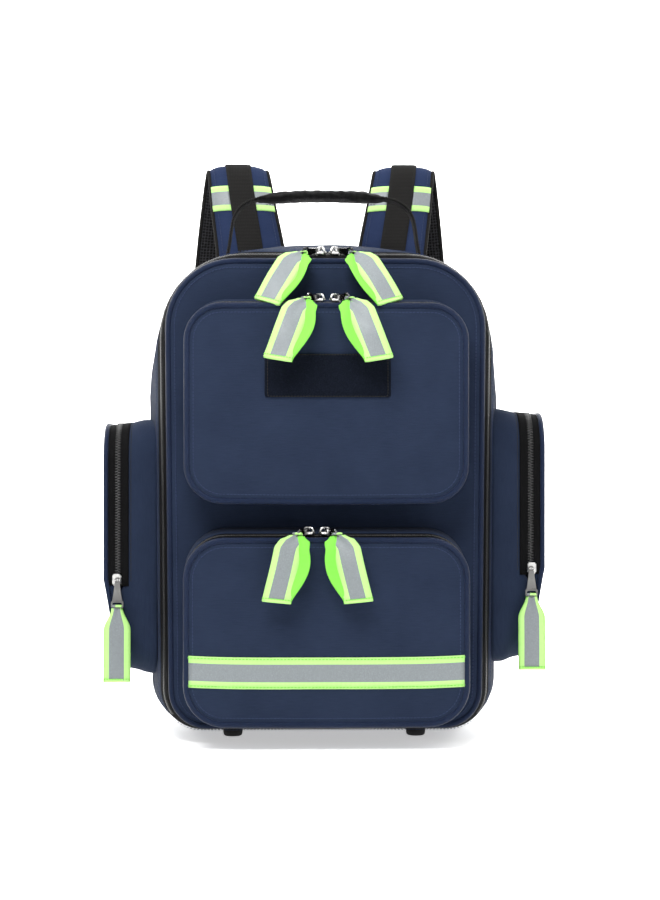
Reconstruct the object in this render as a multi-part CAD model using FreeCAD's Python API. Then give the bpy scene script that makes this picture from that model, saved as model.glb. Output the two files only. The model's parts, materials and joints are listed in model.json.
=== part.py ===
import FreeCAD, Part
import math
import os

Vector = FreeCAD.Vector

# Trauma backpack. Millimetres, +Z up, the front faces -Y and +X is to the right seen from the front.
# The origin is on the ground, below the middle of the whole object.

# Main shell: each section is (y, half width, lowest z, highest z, top corner radius, bottom corner radius)
FRONT_Y = -96.0
BAND_REAR_Y = -69.0
BACK_Y = 74.0
SHELL_SECTIONS = (
    (FRONT_Y, 143.0, 14.0, 432.0, 60.0, 34.0),
    (BAND_REAR_Y, 153.0, 9.5, 441.6, 86.0, 38.0),
    (-16.0, 163.0, 8.0, 452.0, 140.0, 42.0),
    (BACK_Y, 160.0, 8.0, 450.0, 135.0, 42.0),
)
SHELL_LEAN = 4.0
SHELL_WALL = 4.0
PANEL_THICK = 6.0
TAPE_THICK = 1.6
PIPING_R = 3.0
STRINGER_GAP = 2.6
CHAIN_Y = -82.8
FOOT_R = 9.0
FOOT_SPOTS = ((-84.0, -44.0), (84.0, -44.0), (-84.0, 48.0), (84.0, 48.0))
BASE_BOARD = (120.0, -58.0, 62.0, 16.0)
DIVIDER_THICK = 6.0
DIVIDER_Z = (150.0, 300.0)
DIVIDER_HALF_WIDTH = 146.0
DIVIDER_FRONT_Y = -50.0

# Front pockets: front face y, then (half width, low z, high z, corner radius) at the face and at the lid
UPPER = {"face_y": -131.0, "face": (122.0, 218.5, 388.0, 30.0), "foot": (125.0, 217.0, 396.0, 36.0),
         "chain_y": -115.0, "hinge_z": 301.0}
LOWER = {"face_y": -141.0, "face": (122.0, 24.0, 183.0, 33.0), "foot": (125.0, 23.0, 193.0, 38.0),
         "chain_y": -125.0, "hinge_z": 104.0}
POCKET_WALL = 1.6
POCKET_TAPE = 7.0
FOLD_GAP = 1.4
HINGE_STAND = 3.0
PATCH = (-54.0, 56.0, 308.0, 346.0)
STRIP = (119.0, 54.5, 82.0)
TRIM_THICK = 1.5

# Side pockets, given for the left one; the right one sits SIDE_LIFT higher
SIDE_FRONT_Y = -60.0
SIDE_BACK_Y = 60.0
SIDE_ROOT_X = 150.0
SIDE_OUTER_X = 200.0
SIDE_LOW = 62.0
SIDE_HIGH = 284.0
SIDE_CORNER_R = 32.0
SIDE_DRAFT = 6.0
SIDE_HINGE_Z = 138.0
SIDE_TAPER = 15.0
SIDE_CHAIN_X = 188.0
SIDE_TAPE = 7.0
SIDE_LIFT = 10.0

# Carry handle
WEB_WIDTH = 25.0
WEB_THICK = 2.4
HANDLE_PIVOT_Z = 470.0
HANDLE_PATH = ((-85.5, 468.5), (-83.0, 482.0), (-76.0, 493.0), (-62.0, 499.0), (0.0, 501.0),
               (62.0, 499.0), (76.0, 493.0), (83.0, 482.0), (85.5, 468.5))
GRIP_PATH = ((-60.0, 499.1), (-30.0, 500.6), (0.0, 501.0), (28.0, 500.6), (55.0, 499.3))
GRIP_THICK = 11.0
GRIP_WIDTH = 31.0
HANDLE_ANCHOR_PATH = ((-118.0, 415.8), (-108.0, 424.2), (-98.0, 431.6), (-92.5, 438.0), (-89.8, 448.0), (-88.6, 478.0))

# Shoulder straps, given for the right one: (x, y, z, width) along the middle of the padding
STRAP_THICK = 12.0
STRAP_PIVOT = (84.0, 440.0)
STRAP_PATH = (
    (68.0, 84.0, 441.0, 67.0),
    (71.0, 88.0, 465.0, 66.0),
    (77.0, 96.0, 502.0, 63.0),
    (81.0, 104.0, 530.0, 60.5),
    (83.0, 112.0, 540.0, 59.5),
    (85.0, 123.0, 536.0, 59.5),
    (89.0, 136.0, 510.0, 60.0),
    (94.0, 154.0, 465.0, 62.0),
    (98.0, 160.0, 415.0, 63.0),
    (100.0, 158.0, 350.0, 62.0),
    (101.0, 145.0, 280.0, 58.0),
    (102.0, 126.0, 222.0, 50.0),
)
ADJUSTER_PATH = ((102.5, 121.5, 203.0), (106.0, 112.0, 170.0), (114.0, 100.0, 128.0), (124.0, 89.0, 84.0))
LOCK_SIZE = (38.0, 8.0, 24.0)
LOWER_TAB = ((126.0, 86.5, 74.0), (130.0, 79.0, 58.0))
REFLECTIVE_BAND = (497.5, 522.5)

# Zip sliders and pulls
SLIDER_LENGTH = 11.0
SLIDER_PLATE = 1.3
SLIDER_CLEAR = 1.2
SLIDER_NEAR = 5.0
SLIDER_FAR = 3.1
BAR_R = 0.9
BAR_HALF = 3.2
POST_HALF = 0.45
BAR_HEIGHT = 3.3
EYE_R = 2.3
EYE_HOLE_R = 1.35
EYE_HALF = 1.1
TAB_LENGTH = 24.0
TAB_THICK = 1.2
TAB_WIDTHS = (6.5, 10.5)
TAB_END_BAR = 1.6
LOOP_EYE_R = 2.25
LOOP_WEB = 0.9
LOOP_NECK = 6.6
LOOP_NECK_LENGTH = 20.0
LOOP_HEM = 7.0
# pull name: slider x, heading from the front in degrees, tab droop, loop lean, loop length, loop bulge
PULLS = {
    "main_left": (-4.6, -42.0, 12.0, 52.0, 62.0, 3.4),
    "main_right": (8.6, 42.0, 12.0, 52.0, 62.0, 3.4),
    "upper_left": (-6.2, -30.0, 8.0, 25.0, 62.0, 3.4),
    "upper_right": (8.2, 30.0, 8.0, 25.0, 62.0, 3.4),
    "lower_left": (-15.6, -25.0, 8.0, 14.0, 62.0, 3.4),
    "lower_right": (-1.2, 25.0, 8.0, 14.0, 62.0, 3.4),
    "side_left": (-SIDE_CHAIN_X, 0.0, 85.0, 3.0, 70.0, 2.6),
    "side_right": (SIDE_CHAIN_X, 0.0, 85.0, 3.0, 70.0, 2.6),
}


def box(x0, x1, y0, y1, z0, z1):
    """Axis-aligned box between two corners."""
    return Part.makeBox(x1 - x0, y1 - y0, z1 - z0, Vector(x0, y0, z0))


def rounded_wire(corners, radii, place):
    """Closed wire of lines and tangent arcs through flat corners, placed in space by place(u, v)."""
    count = len(corners)
    ends = []
    for i, (corner, radius) in enumerate(zip(corners, radii)):
        before = corners[i - 1]
        after = corners[(i + 1) % count]
        here = Vector(corner[0], corner[1], 0)
        to_before = (Vector(before[0], before[1], 0) - here).normalize()
        to_after = (Vector(after[0], after[1], 0) - here).normalize()
        half = to_before.getAngle(to_after) / 2
        reach = radius / math.tan(half)
        bisector = (to_before + to_after).normalize()
        middle = here + bisector * (radius / math.sin(half) - radius)
        ends.append((here + to_before * reach, middle, here + to_after * reach))
    edges = []
    for i, (start, middle, finish) in enumerate(ends):
        points = [place(point.x, point.y) for point in (start, middle, finish)]
        edges.append(Part.Arc(*points).toShape())
        following = ends[(i + 1) % count][0]
        edges.append(Part.LineSegment(points[2], place(following.x, following.y)).toShape())
    return Part.Wire(edges)


def shell_section(y):
    """Half width, low z, high z and radii of the shell's outer surface at y."""
    for near, far in zip(SHELL_SECTIONS, SHELL_SECTIONS[1:]):
        if y <= far[0]:
            break
    share = (y - near[0]) / (far[0] - near[0])
    return [a + (b - a) * share for a, b in zip(near[1:], far[1:])]


def shell_wire(y, inset):
    """Outline of the shell at y, moved in by inset."""
    half, low, high, r_top, r_bottom = shell_section(y)
    foot = half - SHELL_LEAN - inset
    top = half - inset
    corners = ((-foot, low + inset), (foot, low + inset), (top, high - inset), (-top, high - inset))
    radii = (r_bottom - inset, r_bottom - inset, r_top - inset, r_top - inset)
    return rounded_wire(corners, radii, lambda u, v: Vector(u, y, v))


def shell_solid(y0, y1, inset):
    """Solid of the shell's shape between y0 and y1, moved in by inset."""
    stops = [y0] + [row[0] for row in SHELL_SECTIONS if y0 < row[0] < y1] + [y1]
    return Part.makeLoft([shell_wire(y, inset) for y in stops], True, True)


def shell_ring(y0, y1, thick):
    """Wall of the shell between y0 and y1."""
    return shell_solid(y0, y1, 0.0).cut(shell_solid(y0, y1, thick))


def bead(path, radius):
    """Round bead of piping along a closed wire."""
    edge = path.Edges[1]
    start = edge.valueAt(edge.FirstParameter)
    circle = Part.makeCircle(radius, start, edge.tangentAt(edge.FirstParameter))
    ordered = Part.Wire(path.Edges[1:] + path.Edges[:1])
    return ordered.makePipeShell([Part.Wire([circle])], True, False)


def pocket_section(pocket, y, inset):
    """Half width, low z, high z and radius of a front pocket at y."""
    share = (FRONT_Y - y) / (FRONT_Y - pocket["face_y"])
    half, low, high, radius = [a + (b - a) * share for a, b in zip(pocket["foot"], pocket["face"])]
    return half - inset, low + inset, high - inset, radius - inset


def pocket_wire(pocket, y, inset):
    """Outline of a front pocket at y."""
    half, low, high, radius = pocket_section(pocket, y, inset)
    corners = ((-half, low), (half, low), (half, high), (-half, high))
    return rounded_wire(corners, (radius,) * 4, lambda u, v: Vector(u, y, v))


def pocket_parts(pocket):
    """The fixed half, the zip tape and the opening flap of a front pocket."""
    face_y = pocket["face_y"]
    piping = bead(pocket_wire(pocket, face_y + 1.0, 0.0), PIPING_R)
    outer = Part.makeLoft([pocket_wire(pocket, y, 0.0) for y in (face_y, FRONT_Y)], True, True)
    inner_ys = (face_y + POCKET_WALL, FRONT_Y)
    inner = Part.makeLoft([pocket_wire(pocket, y, POCKET_WALL) for y in inner_ys], True, True)
    shell = outer.cut(inner).fuse(piping)
    fold_z = pocket["hinge_z"]
    chain = pocket["chain_y"]
    rim = STRINGER_GAP / 2
    wide = 2 * pocket["foot"][0]
    above = fold_z + FOLD_GAP / 2
    below = fold_z - FOLD_GAP / 2
    flap_room = box(-wide, wide, face_y - 20, chain - rim, above, above + 200)
    fold_room = box(-wide, wide, face_y - 20, chain + rim, below, below + 200)
    tape_room = box(-wide, wide, chain + rim, chain + rim + POCKET_TAPE, below, below + 200)
    flap = shell.common(flap_room)
    tape = shell.common(tape_room)
    fixed = shell.cut(fold_room).cut(tape_room)
    return fixed, tape, flap


def shell_wire_at_front():
    """Centre line of the front piping."""
    return shell_wire(FRONT_Y + 2.0, PIPING_R)


def front_lid():
    """Nodes that fold down with the front lid."""
    nodes = {}
    piping = bead(shell_wire_at_front(), PIPING_R)
    panel = shell_solid(FRONT_Y, FRONT_Y + PANEL_THICK, 1.0).cut(piping)
    rim = STRINGER_GAP / 2
    tape = shell_ring(FRONT_Y + PANEL_THICK - 1.0, CHAIN_Y - rim, TAPE_THICK).cut(panel)
    nodes["front_panel"] = panel
    nodes["front_piping"] = piping
    nodes["main_zip_front_tape"] = tape
    tapes = []
    for name, pocket in (("upper", UPPER), ("lower", LOWER)):
        fixed, tape, flap = pocket_parts(pocket)
        nodes[name + "_pocket"] = fixed
        nodes[name + "_flap"] = flap
        tapes.append(tape)
    nodes["pocket_zip_tapes"] = Part.makeCompound(tapes)
    left, right, low, high = PATCH
    nodes["loop_patch"] = box(left, right, UPPER["face_y"] - TRIM_THICK, UPPER["face_y"], low, high)
    half, low, high = STRIP
    nodes["reflective_strip"] = box(-half, half, LOWER["face_y"] - TRIM_THICK, LOWER["face_y"], low, high)
    return nodes


def main_shell():
    """Nodes of the fixed main compartment."""
    nodes = {}
    rim = STRINGER_GAP / 2
    piping = bead(shell_wire(BACK_Y - PIPING_R, 0.0), PIPING_R)
    gusset_end = BACK_Y - 2 * PIPING_R
    nodes["body_gusset"] = shell_ring(BAND_REAR_Y, gusset_end, SHELL_WALL)
    nodes["main_zip_rear_tape"] = shell_ring(CHAIN_Y + rim, BAND_REAR_Y, TAPE_THICK)
    nodes["back_panel"] = shell_solid(gusset_end, BACK_Y, 1.0).cut(piping)
    nodes["rear_piping"] = piping
    half, front, back, top = BASE_BOARD
    nodes["base_panel"] = shell_solid(front, back, SHELL_WALL).common(box(-half, half, front, back, 0, top))
    outside = shell_solid(BAND_REAR_Y, gusset_end, 0.0)
    feet = []
    for x, y in FOOT_SPOTS:
        foot = Part.makeCylinder(FOOT_R, 12.0, Vector(x, y, 0)).cut(outside)
        feet.append(foot)
    nodes["rubber_feet"] = Part.makeCompound(feet)
    nodes["padded_dividers"] = dividers(gusset_end)
    nodes["back_pads"] = back_pads()
    return nodes


def dividers(back_y):
    """Two shelves and one upright inside the main compartment."""
    half = DIVIDER_THICK / 2
    wide = DIVIDER_HALF_WIDTH
    low, high = DIVIDER_Z
    shelves = [box(-wide, wide, DIVIDER_FRONT_Y, back_y, z - half, z + half) for z in DIVIDER_Z]
    upright = box(-half, half, DIVIDER_FRONT_Y, back_y, low + half, high - half)
    return shelves[0].fuse(upright).fuse(shelves[1])


def rounded_slab(half, low, high, radius, y0, y1, centre_x=0.0):
    """Flat pad with rounded corners between y0 and y1."""
    corners = ((-half, low), (half, low), (half, high), (-half, high))
    wire = rounded_wire(corners, (radius,) * 4, lambda u, v: Vector(centre_x + u, y0, v))
    return Part.Face(wire).extrude(Vector(0, y1 - y0, 0))


def back_pads():
    """Two upright cushions and one lumbar cushion on the back."""
    front = BACK_Y
    pads = [rounded_slab(44.0, 140.0, 390.0, 22.0, front, front + 9.0, x) for x in (-70.0, 70.0)]
    pads.append(rounded_slab(112.0, 40.0, 126.0, 24.0, front, front + 9.0))
    return Part.makeCompound(pads)


def side_wire(x, inset, draft):
    """Outline of the left side pocket at distance x from the middle, in the Y-Z plane."""
    low = SIDE_LOW + inset + draft
    high = SIDE_HIGH - inset - draft
    front = SIDE_FRONT_Y + inset
    back = SIDE_BACK_Y - inset
    radius = SIDE_CORNER_R - inset
    corners = ((front, low), (back, low), (back, high), (front, high))
    return rounded_wire(corners, (radius,) * 4, lambda u, v: Vector(x, u, v))


def side_block(inset, outer_x):
    """Side pocket's solid, drafted above and below and tapered in under the hinge line."""
    root = side_wire(SIDE_ROOT_X, inset, -SIDE_DRAFT)
    rim = side_wire(outer_x, inset, 0.0)
    block = Part.makeLoft([root, rim], True, True)
    low = SIDE_LOW - 2 * SIDE_DRAFT
    points = [(outer_x, SIDE_HINGE_Z - 10), (outer_x - SIDE_TAPER, low), (outer_x + 30, low),
              (outer_x + 30, SIDE_HINGE_Z - 10)]
    corners = [Vector(x, SIDE_FRONT_Y - 20, z) for x, z in points]
    wedge = Part.Face(Part.makePolygon(corners + corners[:1])).extrude(Vector(0, 160, 0))
    return block.cut(wedge)


def side_pocket(side):
    """Fixed bag, inner zip tape and opening lid of one side pocket."""
    wall = side_block(0.0, SIDE_OUTER_X).cut(side_block(POCKET_WALL, SIDE_OUTER_X - POCKET_WALL))
    lift = SIDE_LIFT if side > 0 else 0.0
    rim_path = side_wire(SIDE_OUTER_X - 1.0, 0.0, 0.0)
    wall = wall.fuse(bead(rim_path, PIPING_R).common(box(150, 220, -90, 90, SIDE_HINGE_Z, 320)))
    gap = FOLD_GAP / 2
    rim = STRINGER_GAP / 2
    above = SIDE_HINGE_Z + gap
    lid_room = box(SIDE_CHAIN_X + rim, 240, -90, 90, above, 320)
    fold_room = box(SIDE_CHAIN_X - rim, 240, -90, 90, SIDE_HINGE_Z - gap, 320)
    tape_room = box(SIDE_CHAIN_X - rim - SIDE_TAPE, SIDE_CHAIN_X - rim, -90, 90, SIDE_HINGE_Z - gap, 320)
    lid = wall.common(lid_room)
    tape = wall.common(tape_room)
    bag = wall.cut(fold_room).cut(tape_room)
    shapes = []
    outside = shell_solid(BAND_REAR_Y, BACK_Y - 2 * PIPING_R, 0.0)
    for shape in (bag, tape, lid):
        if side < 0:
            shape = shape.mirror(Vector(0, 0, 0), Vector(1, 0, 0))
        shape.translate(Vector(0, 0, lift))
        shapes.append(shape)
    shapes[0] = shapes[0].cut(outside)
    return shapes


def side_pockets():
    """Nodes of both side pockets."""
    nodes = {}
    tapes = []
    for name, side in (("left", -1), ("right", 1)):
        bag, tape, lid = side_pocket(side)
        nodes["side_pocket_" + name] = bag
        nodes["side_lid_" + name] = lid
        tapes.append(tape)
    nodes["side_zip_tapes"] = Part.makeCompound(tapes)
    return nodes


def flat_ribbon(points, thick, place):
    """Closed face of a band of even thickness about a bent line, placed in space by place(u, v)."""
    sides = ([], [])
    for i, point in enumerate(points):
        before = points[max(i - 1, 0)]
        after = points[min(i + 1, len(points) - 1)]
        along = Vector(after[0] - before[0], after[1] - before[1], 0).normalize()
        across = Vector(-along.y, along.x, 0) * (thick / 2)
        for row, sign in zip(sides, (1, -1)):
            row.append((point[0] + across.x * sign, point[1] + across.y * sign))
    outline = sides[0] + sides[1][::-1]
    corners = [place(u, v) for u, v in outline]
    return Part.Face(Part.makePolygon(corners + corners[:1]))


def upright_band(points, thick, width):
    """Band bent in the X-Z plane, width wide in Y."""
    face = flat_ribbon(points, thick, lambda u, v: Vector(u, -width / 2, v))
    return face.extrude(Vector(0, width, 0))


def handle():
    """Nodes of the carry handle."""
    webbing = upright_band(HANDLE_PATH, WEB_THICK, WEB_WIDTH)
    grip = upright_band(GRIP_PATH, GRIP_THICK, GRIP_WIDTH).cut(webbing)
    return {"handle_webbing": webbing, "handle_grip": grip}


def strap_bar(path, offset, thick, side):
    """Solid of a strap along (x, y, z, width) stations, offset towards the strap's outer face."""
    wires = []
    for i, (x, y, z, width) in enumerate(path):
        before = path[max(i - 1, 0)]
        after = path[min(i + 1, len(path) - 1)]
        along = Vector(0, after[1] - before[1], after[2] - before[2]).normalize()
        across = Vector(0, -along.z, along.y)
        middle = Vector(x * side, y, z)
        corners = []
        for u, v in ((-1, -1), (1, -1), (1, 1), (-1, 1)):
            corners.append(middle + Vector(u * width / 2, 0, 0) + across * (offset + v * thick / 2))
        wires.append(Part.makePolygon(corners + corners[:1]))
    return Part.makeLoft(wires, True, True)


def shoulder_strap(name, side):
    """Nodes of one shoulder strap."""
    nodes = {}
    pad = strap_bar(STRAP_PATH, 0.0, STRAP_THICK, side)
    webbing_path = [(x, y, z, WEB_WIDTH) for x, y, z, width in STRAP_PATH[:5]]
    lift = STRAP_THICK / 2 + WEB_THICK / 2
    webbing = strap_bar(webbing_path, lift, WEB_THICK, side)
    band_path = [(x, y, z, width + 1) for x, y, z, width in STRAP_PATH[1:4]]
    low, high = REFLECTIVE_BAND
    band = strap_bar(band_path, STRAP_THICK / 2 + 0.5, 1.0, side)
    band = band.common(box(-200, 200, 60, 160, low, high))
    band = band.cut(webbing)
    adjuster_path = [(x, y, z, WEB_WIDTH) for x, y, z in ADJUSTER_PATH]
    x, y, z, width = STRAP_PATH[-1]
    wide, thick, tall = LOCK_SIZE
    top = z - 1.0
    lock = box(x * side - wide / 2, x * side + wide / 2, y - thick / 2 - 1, y + thick / 2 - 1, top - tall, top)
    adjuster = strap_bar(adjuster_path, 0.0, WEB_THICK, side)
    slot = box(x * side - 14, x * side + 14, y - 40, y + 40, top - tall + 5, top - tall + 10)
    lock = lock.cut(slot).fuse(box(x * side - 13, x * side + 13, y - 3, y + 1, top - 2, z + 1).cut(pad))
    nodes["shoulder_pad_" + name] = pad
    nodes["strap_webbing_" + name] = webbing
    nodes["strap_reflective_" + name] = band
    nodes["ladder_lock_" + name] = lock.cut(adjuster)
    nodes["adjuster_webbing_" + name] = adjuster
    return nodes


def webbing_anchors():
    """Sewn webbing ends of the handle and of the straps' lower webbing."""
    pieces = []
    outside = shell_solid(BAND_REAR_Y, BACK_Y - 2 * PIPING_R, 0.0)
    for side in (-1, 1):
        path = [(x * side, z) for x, z in HANDLE_ANCHOR_PATH]
        pieces.append(upright_band(path, WEB_THICK, WEB_WIDTH).cut(outside))
        (x0, y0, z0), (x1, y1, z1) = LOWER_TAB
        tab_path = [(x0, y0, z0, WEB_WIDTH), (x1, y1, z1, WEB_WIDTH), (x1, BACK_Y + 1.2, z1 - 12, WEB_WIDTH)]
        pieces.append(strap_bar(tab_path, 0.0, WEB_THICK, side))
    return {"webbing_anchors": Part.makeCompound(pieces)}


def basis(across, down):
    """Placement that takes local X to across and local -Z to down."""
    z_axis = down * -1
    y_axis = z_axis.cross(across)
    return FreeCAD.Placement(FreeCAD.Matrix(
        across.x, y_axis.x, z_axis.x, 0,
        across.y, y_axis.y, z_axis.y, 0,
        across.z, y_axis.z, z_axis.z, 0,
        0, 0, 0, 1))


def placed(shape, placement, origin):
    """Copy of a local shape put at origin with the placement's turn."""
    copy = shape.copy()
    copy.Placement = FreeCAD.Placement(origin, placement.Rotation)
    return copy


def teardrop(radius, bulge, half_end, length):
    """Closed teardrop in the local Y-Z plane: round at the top, narrow at the bottom."""
    ends = [Vector(0, sign * half_end, -length) for sign in (1, -1)]
    tops = [Vector(0, sign * radius, 0) for sign in (1, -1)]
    back_mid = Vector(0, radius * 0.9, -length / 2)
    front_mid = Vector(0, -bulge, -length / 2)
    edges = [
        Part.Arc(tops[1], Vector(0, 0, radius), tops[0]).toShape(),
        Part.Arc(tops[0], back_mid, ends[0]).toShape(),
        Part.LineSegment(ends[0], ends[1]).toShape(),
        Part.Arc(ends[1], front_mid, tops[1]).toShape(),
    ]
    return Part.Face(Part.Wire(edges))


def pull_loop(length, bulge):
    """Webbing loop hanging from a bar at the local origin along -Z."""
    outer = teardrop(LOOP_EYE_R, bulge, LOOP_WEB, length)
    inner = teardrop(LOOP_EYE_R - LOOP_WEB, bulge - LOOP_WEB, LOOP_WEB / 4, length - LOOP_HEM)
    ring = outer.cut(inner).extrude(Vector(WEB_WIDTH, 0, 0))
    ring.translate(Vector(-WEB_WIDTH / 2, 0, 0))
    neck = LOOP_NECK / 2
    half = WEB_WIDTH / 2
    points = ((-neck, 5), (-neck, -4), (-half, -LOOP_NECK_LENGTH), (-half, -length - 5),
              (half, -length - 5), (half, -LOOP_NECK_LENGTH), (neck, -4), (neck, 5))
    corners = [Vector(x, -40, z) for x, z in points]
    outline = Part.Face(Part.makePolygon(corners + corners[:1])).extrude(Vector(0, 80, 0))
    return ring.common(outline)


def pull_tab():
    """Metal tab: an eye round the slider's bar at the origin, a tapered blade and a slotted end."""
    near, far = [width / 2 for width in TAB_WIDTHS]
    end = TAB_LENGTH + TAB_END_BAR / 2
    points = ((-near, -EYE_R + 0.3), (-far, -end), (far, -end), (near, -EYE_R + 0.3))
    corners = [Vector(x, -TAB_THICK / 2, z) for x, z in points]
    blade = Part.Face(Part.makePolygon(corners + corners[:1])).extrude(Vector(0, TAB_THICK, 0))
    slot_top = -TAB_LENGTH + TAB_END_BAR / 2 + 3.4
    blade = blade.cut(box(-3.75, 3.75, -5, 5, -TAB_LENGTH + TAB_END_BAR / 2, slot_top))
    eye = Part.makeCylinder(EYE_R, 2 * EYE_HALF, Vector(-EYE_HALF, 0, 0), Vector(1, 0, 0))
    hole = Part.makeCylinder(EYE_HOLE_R, 12, Vector(-6, 0, 0), Vector(1, 0, 0))
    return blade.fuse(eye).cut(hole)


def slider(frame, far_side, bar_across):
    """Slider body about the tape's surface point at the local origin: X along the zip, Z out of the bag.

    far_side is the local Y sign of the stringer that the slider lets go of when the cover opens.
    """
    near = -SLIDER_NEAR * far_side
    far = SLIDER_FAR * far_side
    y0, y1 = min(near, far), max(near, far)
    half = SLIDER_LENGTH / 2
    under = -TAPE_THICK - SLIDER_CLEAR
    top = box(-half, half, y0, y1, SLIDER_CLEAR, SLIDER_CLEAR + SLIDER_PLATE)
    bottom = box(-half, half, y0, y1, under - SLIDER_PLATE, under)
    post = box(-2.5, 2.5, -POST_HALF, POST_HALF, under - 0.1, SLIDER_CLEAR + 0.1)
    body = top.fuse(bottom).fuse(post)
    height = SLIDER_CLEAR + SLIDER_PLATE + BAR_HEIGHT
    along_bar = frame.Rotation.inverted().multVec(bar_across)
    middle = Vector(0, 0, height)
    bar = Part.makeCylinder(BAR_R, 2 * BAR_HALF, middle - along_bar * BAR_HALF, along_bar)
    flat = Vector(along_bar.x, along_bar.y, 0).normalize()
    body = body.fuse(bar)
    for end in (-1, 1):
        tip = middle + along_bar * (end * (BAR_HALF - 0.6))
        leg = box(-0.6, 0.6, -BAR_R, BAR_R, SLIDER_CLEAR + SLIDER_PLATE - 0.1, tip.z)
        leg.Placement = FreeCAD.Placement(Vector(tip.x, tip.y, 0), FreeCAD.Rotation(Vector(1, 0, 0), flat))
        body = body.fuse(leg)
    return body, height


def chain_frame(name):
    """Surface point of the zip at the slider, the zip's direction, the outward normal and the far side."""
    zip_name, side_name = name.split("_")
    x = PULLS[name][0]
    if zip_name == "side":
        z = SIDE_HINGE_Z + SLIDER_LENGTH / 2 + 0.5 + (SIDE_LIFT if side_name == "right" else 0.0)
        far = 1 if side_name == "right" else -1
        return Vector(x, SIDE_FRONT_Y, z), Vector(0, 0, 1), Vector(0, -1, 0), far
    if zip_name == "main":
        y = CHAIN_Y
        tops = [shell_section(y + step)[2] for step in (-5, 5)]
        surface = shell_section(y)[2]
    else:
        pocket = UPPER if zip_name == "upper" else LOWER
        y = pocket["chain_y"]
        tops = [pocket_section(pocket, y + step, 0.0)[2] for step in (-5, 5)]
        surface = pocket_section(pocket, y, 0.0)[2]
    rise = math.atan2(tops[1] - tops[0], 10.0)
    normal = Vector(0, -math.sin(rise), math.cos(rise))
    return Vector(x, y, surface), Vector(1, 0, 0), normal, 1


def zip_pull(name):
    """Slider, tab and loop of one zip pull, with the points and axes of its two hinges."""
    x, heading, droop, lean, length, bulge = PULLS[name]
    point, along, normal, far = chain_frame(name)
    head = math.radians(heading)
    forward = Vector(math.sin(head), -math.cos(head), 0)
    across = Vector(math.cos(head), math.sin(head), 0)
    droop_angle = math.radians(droop)
    tab_down = forward * math.cos(droop_angle) + Vector(0, 0, -math.sin(droop_angle))
    lean_angle = math.radians(lean)
    loop_down = forward * math.sin(lean_angle) + Vector(0, 0, -math.cos(lean_angle))
    frame = FreeCAD.Placement(FreeCAD.Matrix(
        along.x, normal.cross(along).x, normal.x, 0,
        along.y, normal.cross(along).y, normal.y, 0,
        along.z, normal.cross(along).z, normal.z, 0,
        0, 0, 0, 1))
    body, height = slider(frame, far, across)
    slider_shape = placed(body, frame, point)
    pivot = point + normal * height
    tab_shape = placed(pull_tab(), basis(across, tab_down), pivot)
    end = pivot + tab_down * TAB_LENGTH
    loop_shape = placed(pull_loop(length, bulge), basis(across, loop_down), end)
    return {"slider": slider_shape, "tab": tab_shape, "loop": loop_shape}, pivot, end, across


def zip_pulls():
    """Nodes of the eight zip pulls, and their hinges as lines for the record."""
    nodes = {}
    for name in PULLS:
        shapes, pivot, end, across = zip_pull(name)
        zip_name, side_name = name.split("_")
        for kind, shape in shapes.items():
            nodes["_".join((zip_name, kind, side_name))] = shape
    return nodes


def write_parts():
    """Write one STEP file per node."""
    nodes = {}
    nodes.update(main_shell())
    nodes.update(front_lid())
    nodes.update(side_pockets())
    nodes.update(handle())
    nodes.update(shoulder_strap("left", -1))
    nodes.update(shoulder_strap("right", 1))
    nodes.update(webbing_anchors())
    nodes.update(zip_pulls())
    os.makedirs("parts", exist_ok=True)
    for name, shape in sorted(nodes.items()):
        if not shape.isValid():
            print("invalid", name)
        box_of = shape.BoundBox
        print(name, len(shape.Solids), round(shape.Volume),
              [round(v, 1) for v in (box_of.XMin, box_of.XMax, box_of.YMin, box_of.YMax, box_of.ZMin, box_of.ZMax)])
        shape.exportStep(os.path.join("parts", name + ".step"))
    print(len(nodes), "nodes")


if __name__ == "__main__":
    write_parts()
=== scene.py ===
import json
import math

import bmesh
import bpy
from mathutils import Matrix, Vector, noise


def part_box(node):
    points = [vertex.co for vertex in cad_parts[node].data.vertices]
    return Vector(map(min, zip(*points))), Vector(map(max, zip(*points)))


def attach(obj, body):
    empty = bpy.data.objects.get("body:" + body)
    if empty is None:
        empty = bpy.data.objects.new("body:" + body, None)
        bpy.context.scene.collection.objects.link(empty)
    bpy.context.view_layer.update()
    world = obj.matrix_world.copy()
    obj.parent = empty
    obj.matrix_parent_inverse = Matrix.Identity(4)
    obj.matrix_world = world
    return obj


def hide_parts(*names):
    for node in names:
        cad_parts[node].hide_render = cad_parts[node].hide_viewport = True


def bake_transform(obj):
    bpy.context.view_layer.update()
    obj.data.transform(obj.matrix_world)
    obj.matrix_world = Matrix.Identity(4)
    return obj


# Lengths in this script are millimetres until a mesh is written, which is in metres like the frame.
MM = 0.001

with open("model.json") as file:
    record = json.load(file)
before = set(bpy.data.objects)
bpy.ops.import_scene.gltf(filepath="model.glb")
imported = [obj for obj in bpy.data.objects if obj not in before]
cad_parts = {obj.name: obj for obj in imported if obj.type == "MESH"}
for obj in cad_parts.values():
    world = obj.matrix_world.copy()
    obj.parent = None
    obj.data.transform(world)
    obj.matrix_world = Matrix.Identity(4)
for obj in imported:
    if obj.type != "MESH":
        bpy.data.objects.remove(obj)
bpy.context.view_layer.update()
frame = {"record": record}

X_AXIS = Vector((1.0, 0.0, 0.0))
Y_AXIS = Vector((0.0, 1.0, 0.0))
UP = Vector((0.0, 0.0, 1.0))
FRONT = Vector((0.0, -1.0, 0.0))


def node_box(name):
    """Lowest and highest corner of a CAD node at rest, in millimetres."""
    low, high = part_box(name)
    return Vector(low) / MM, Vector(high) / MM


JOINTS = {joint["name"]: joint for joint in frame["record"]["behaviour"]["joints"]}


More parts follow.
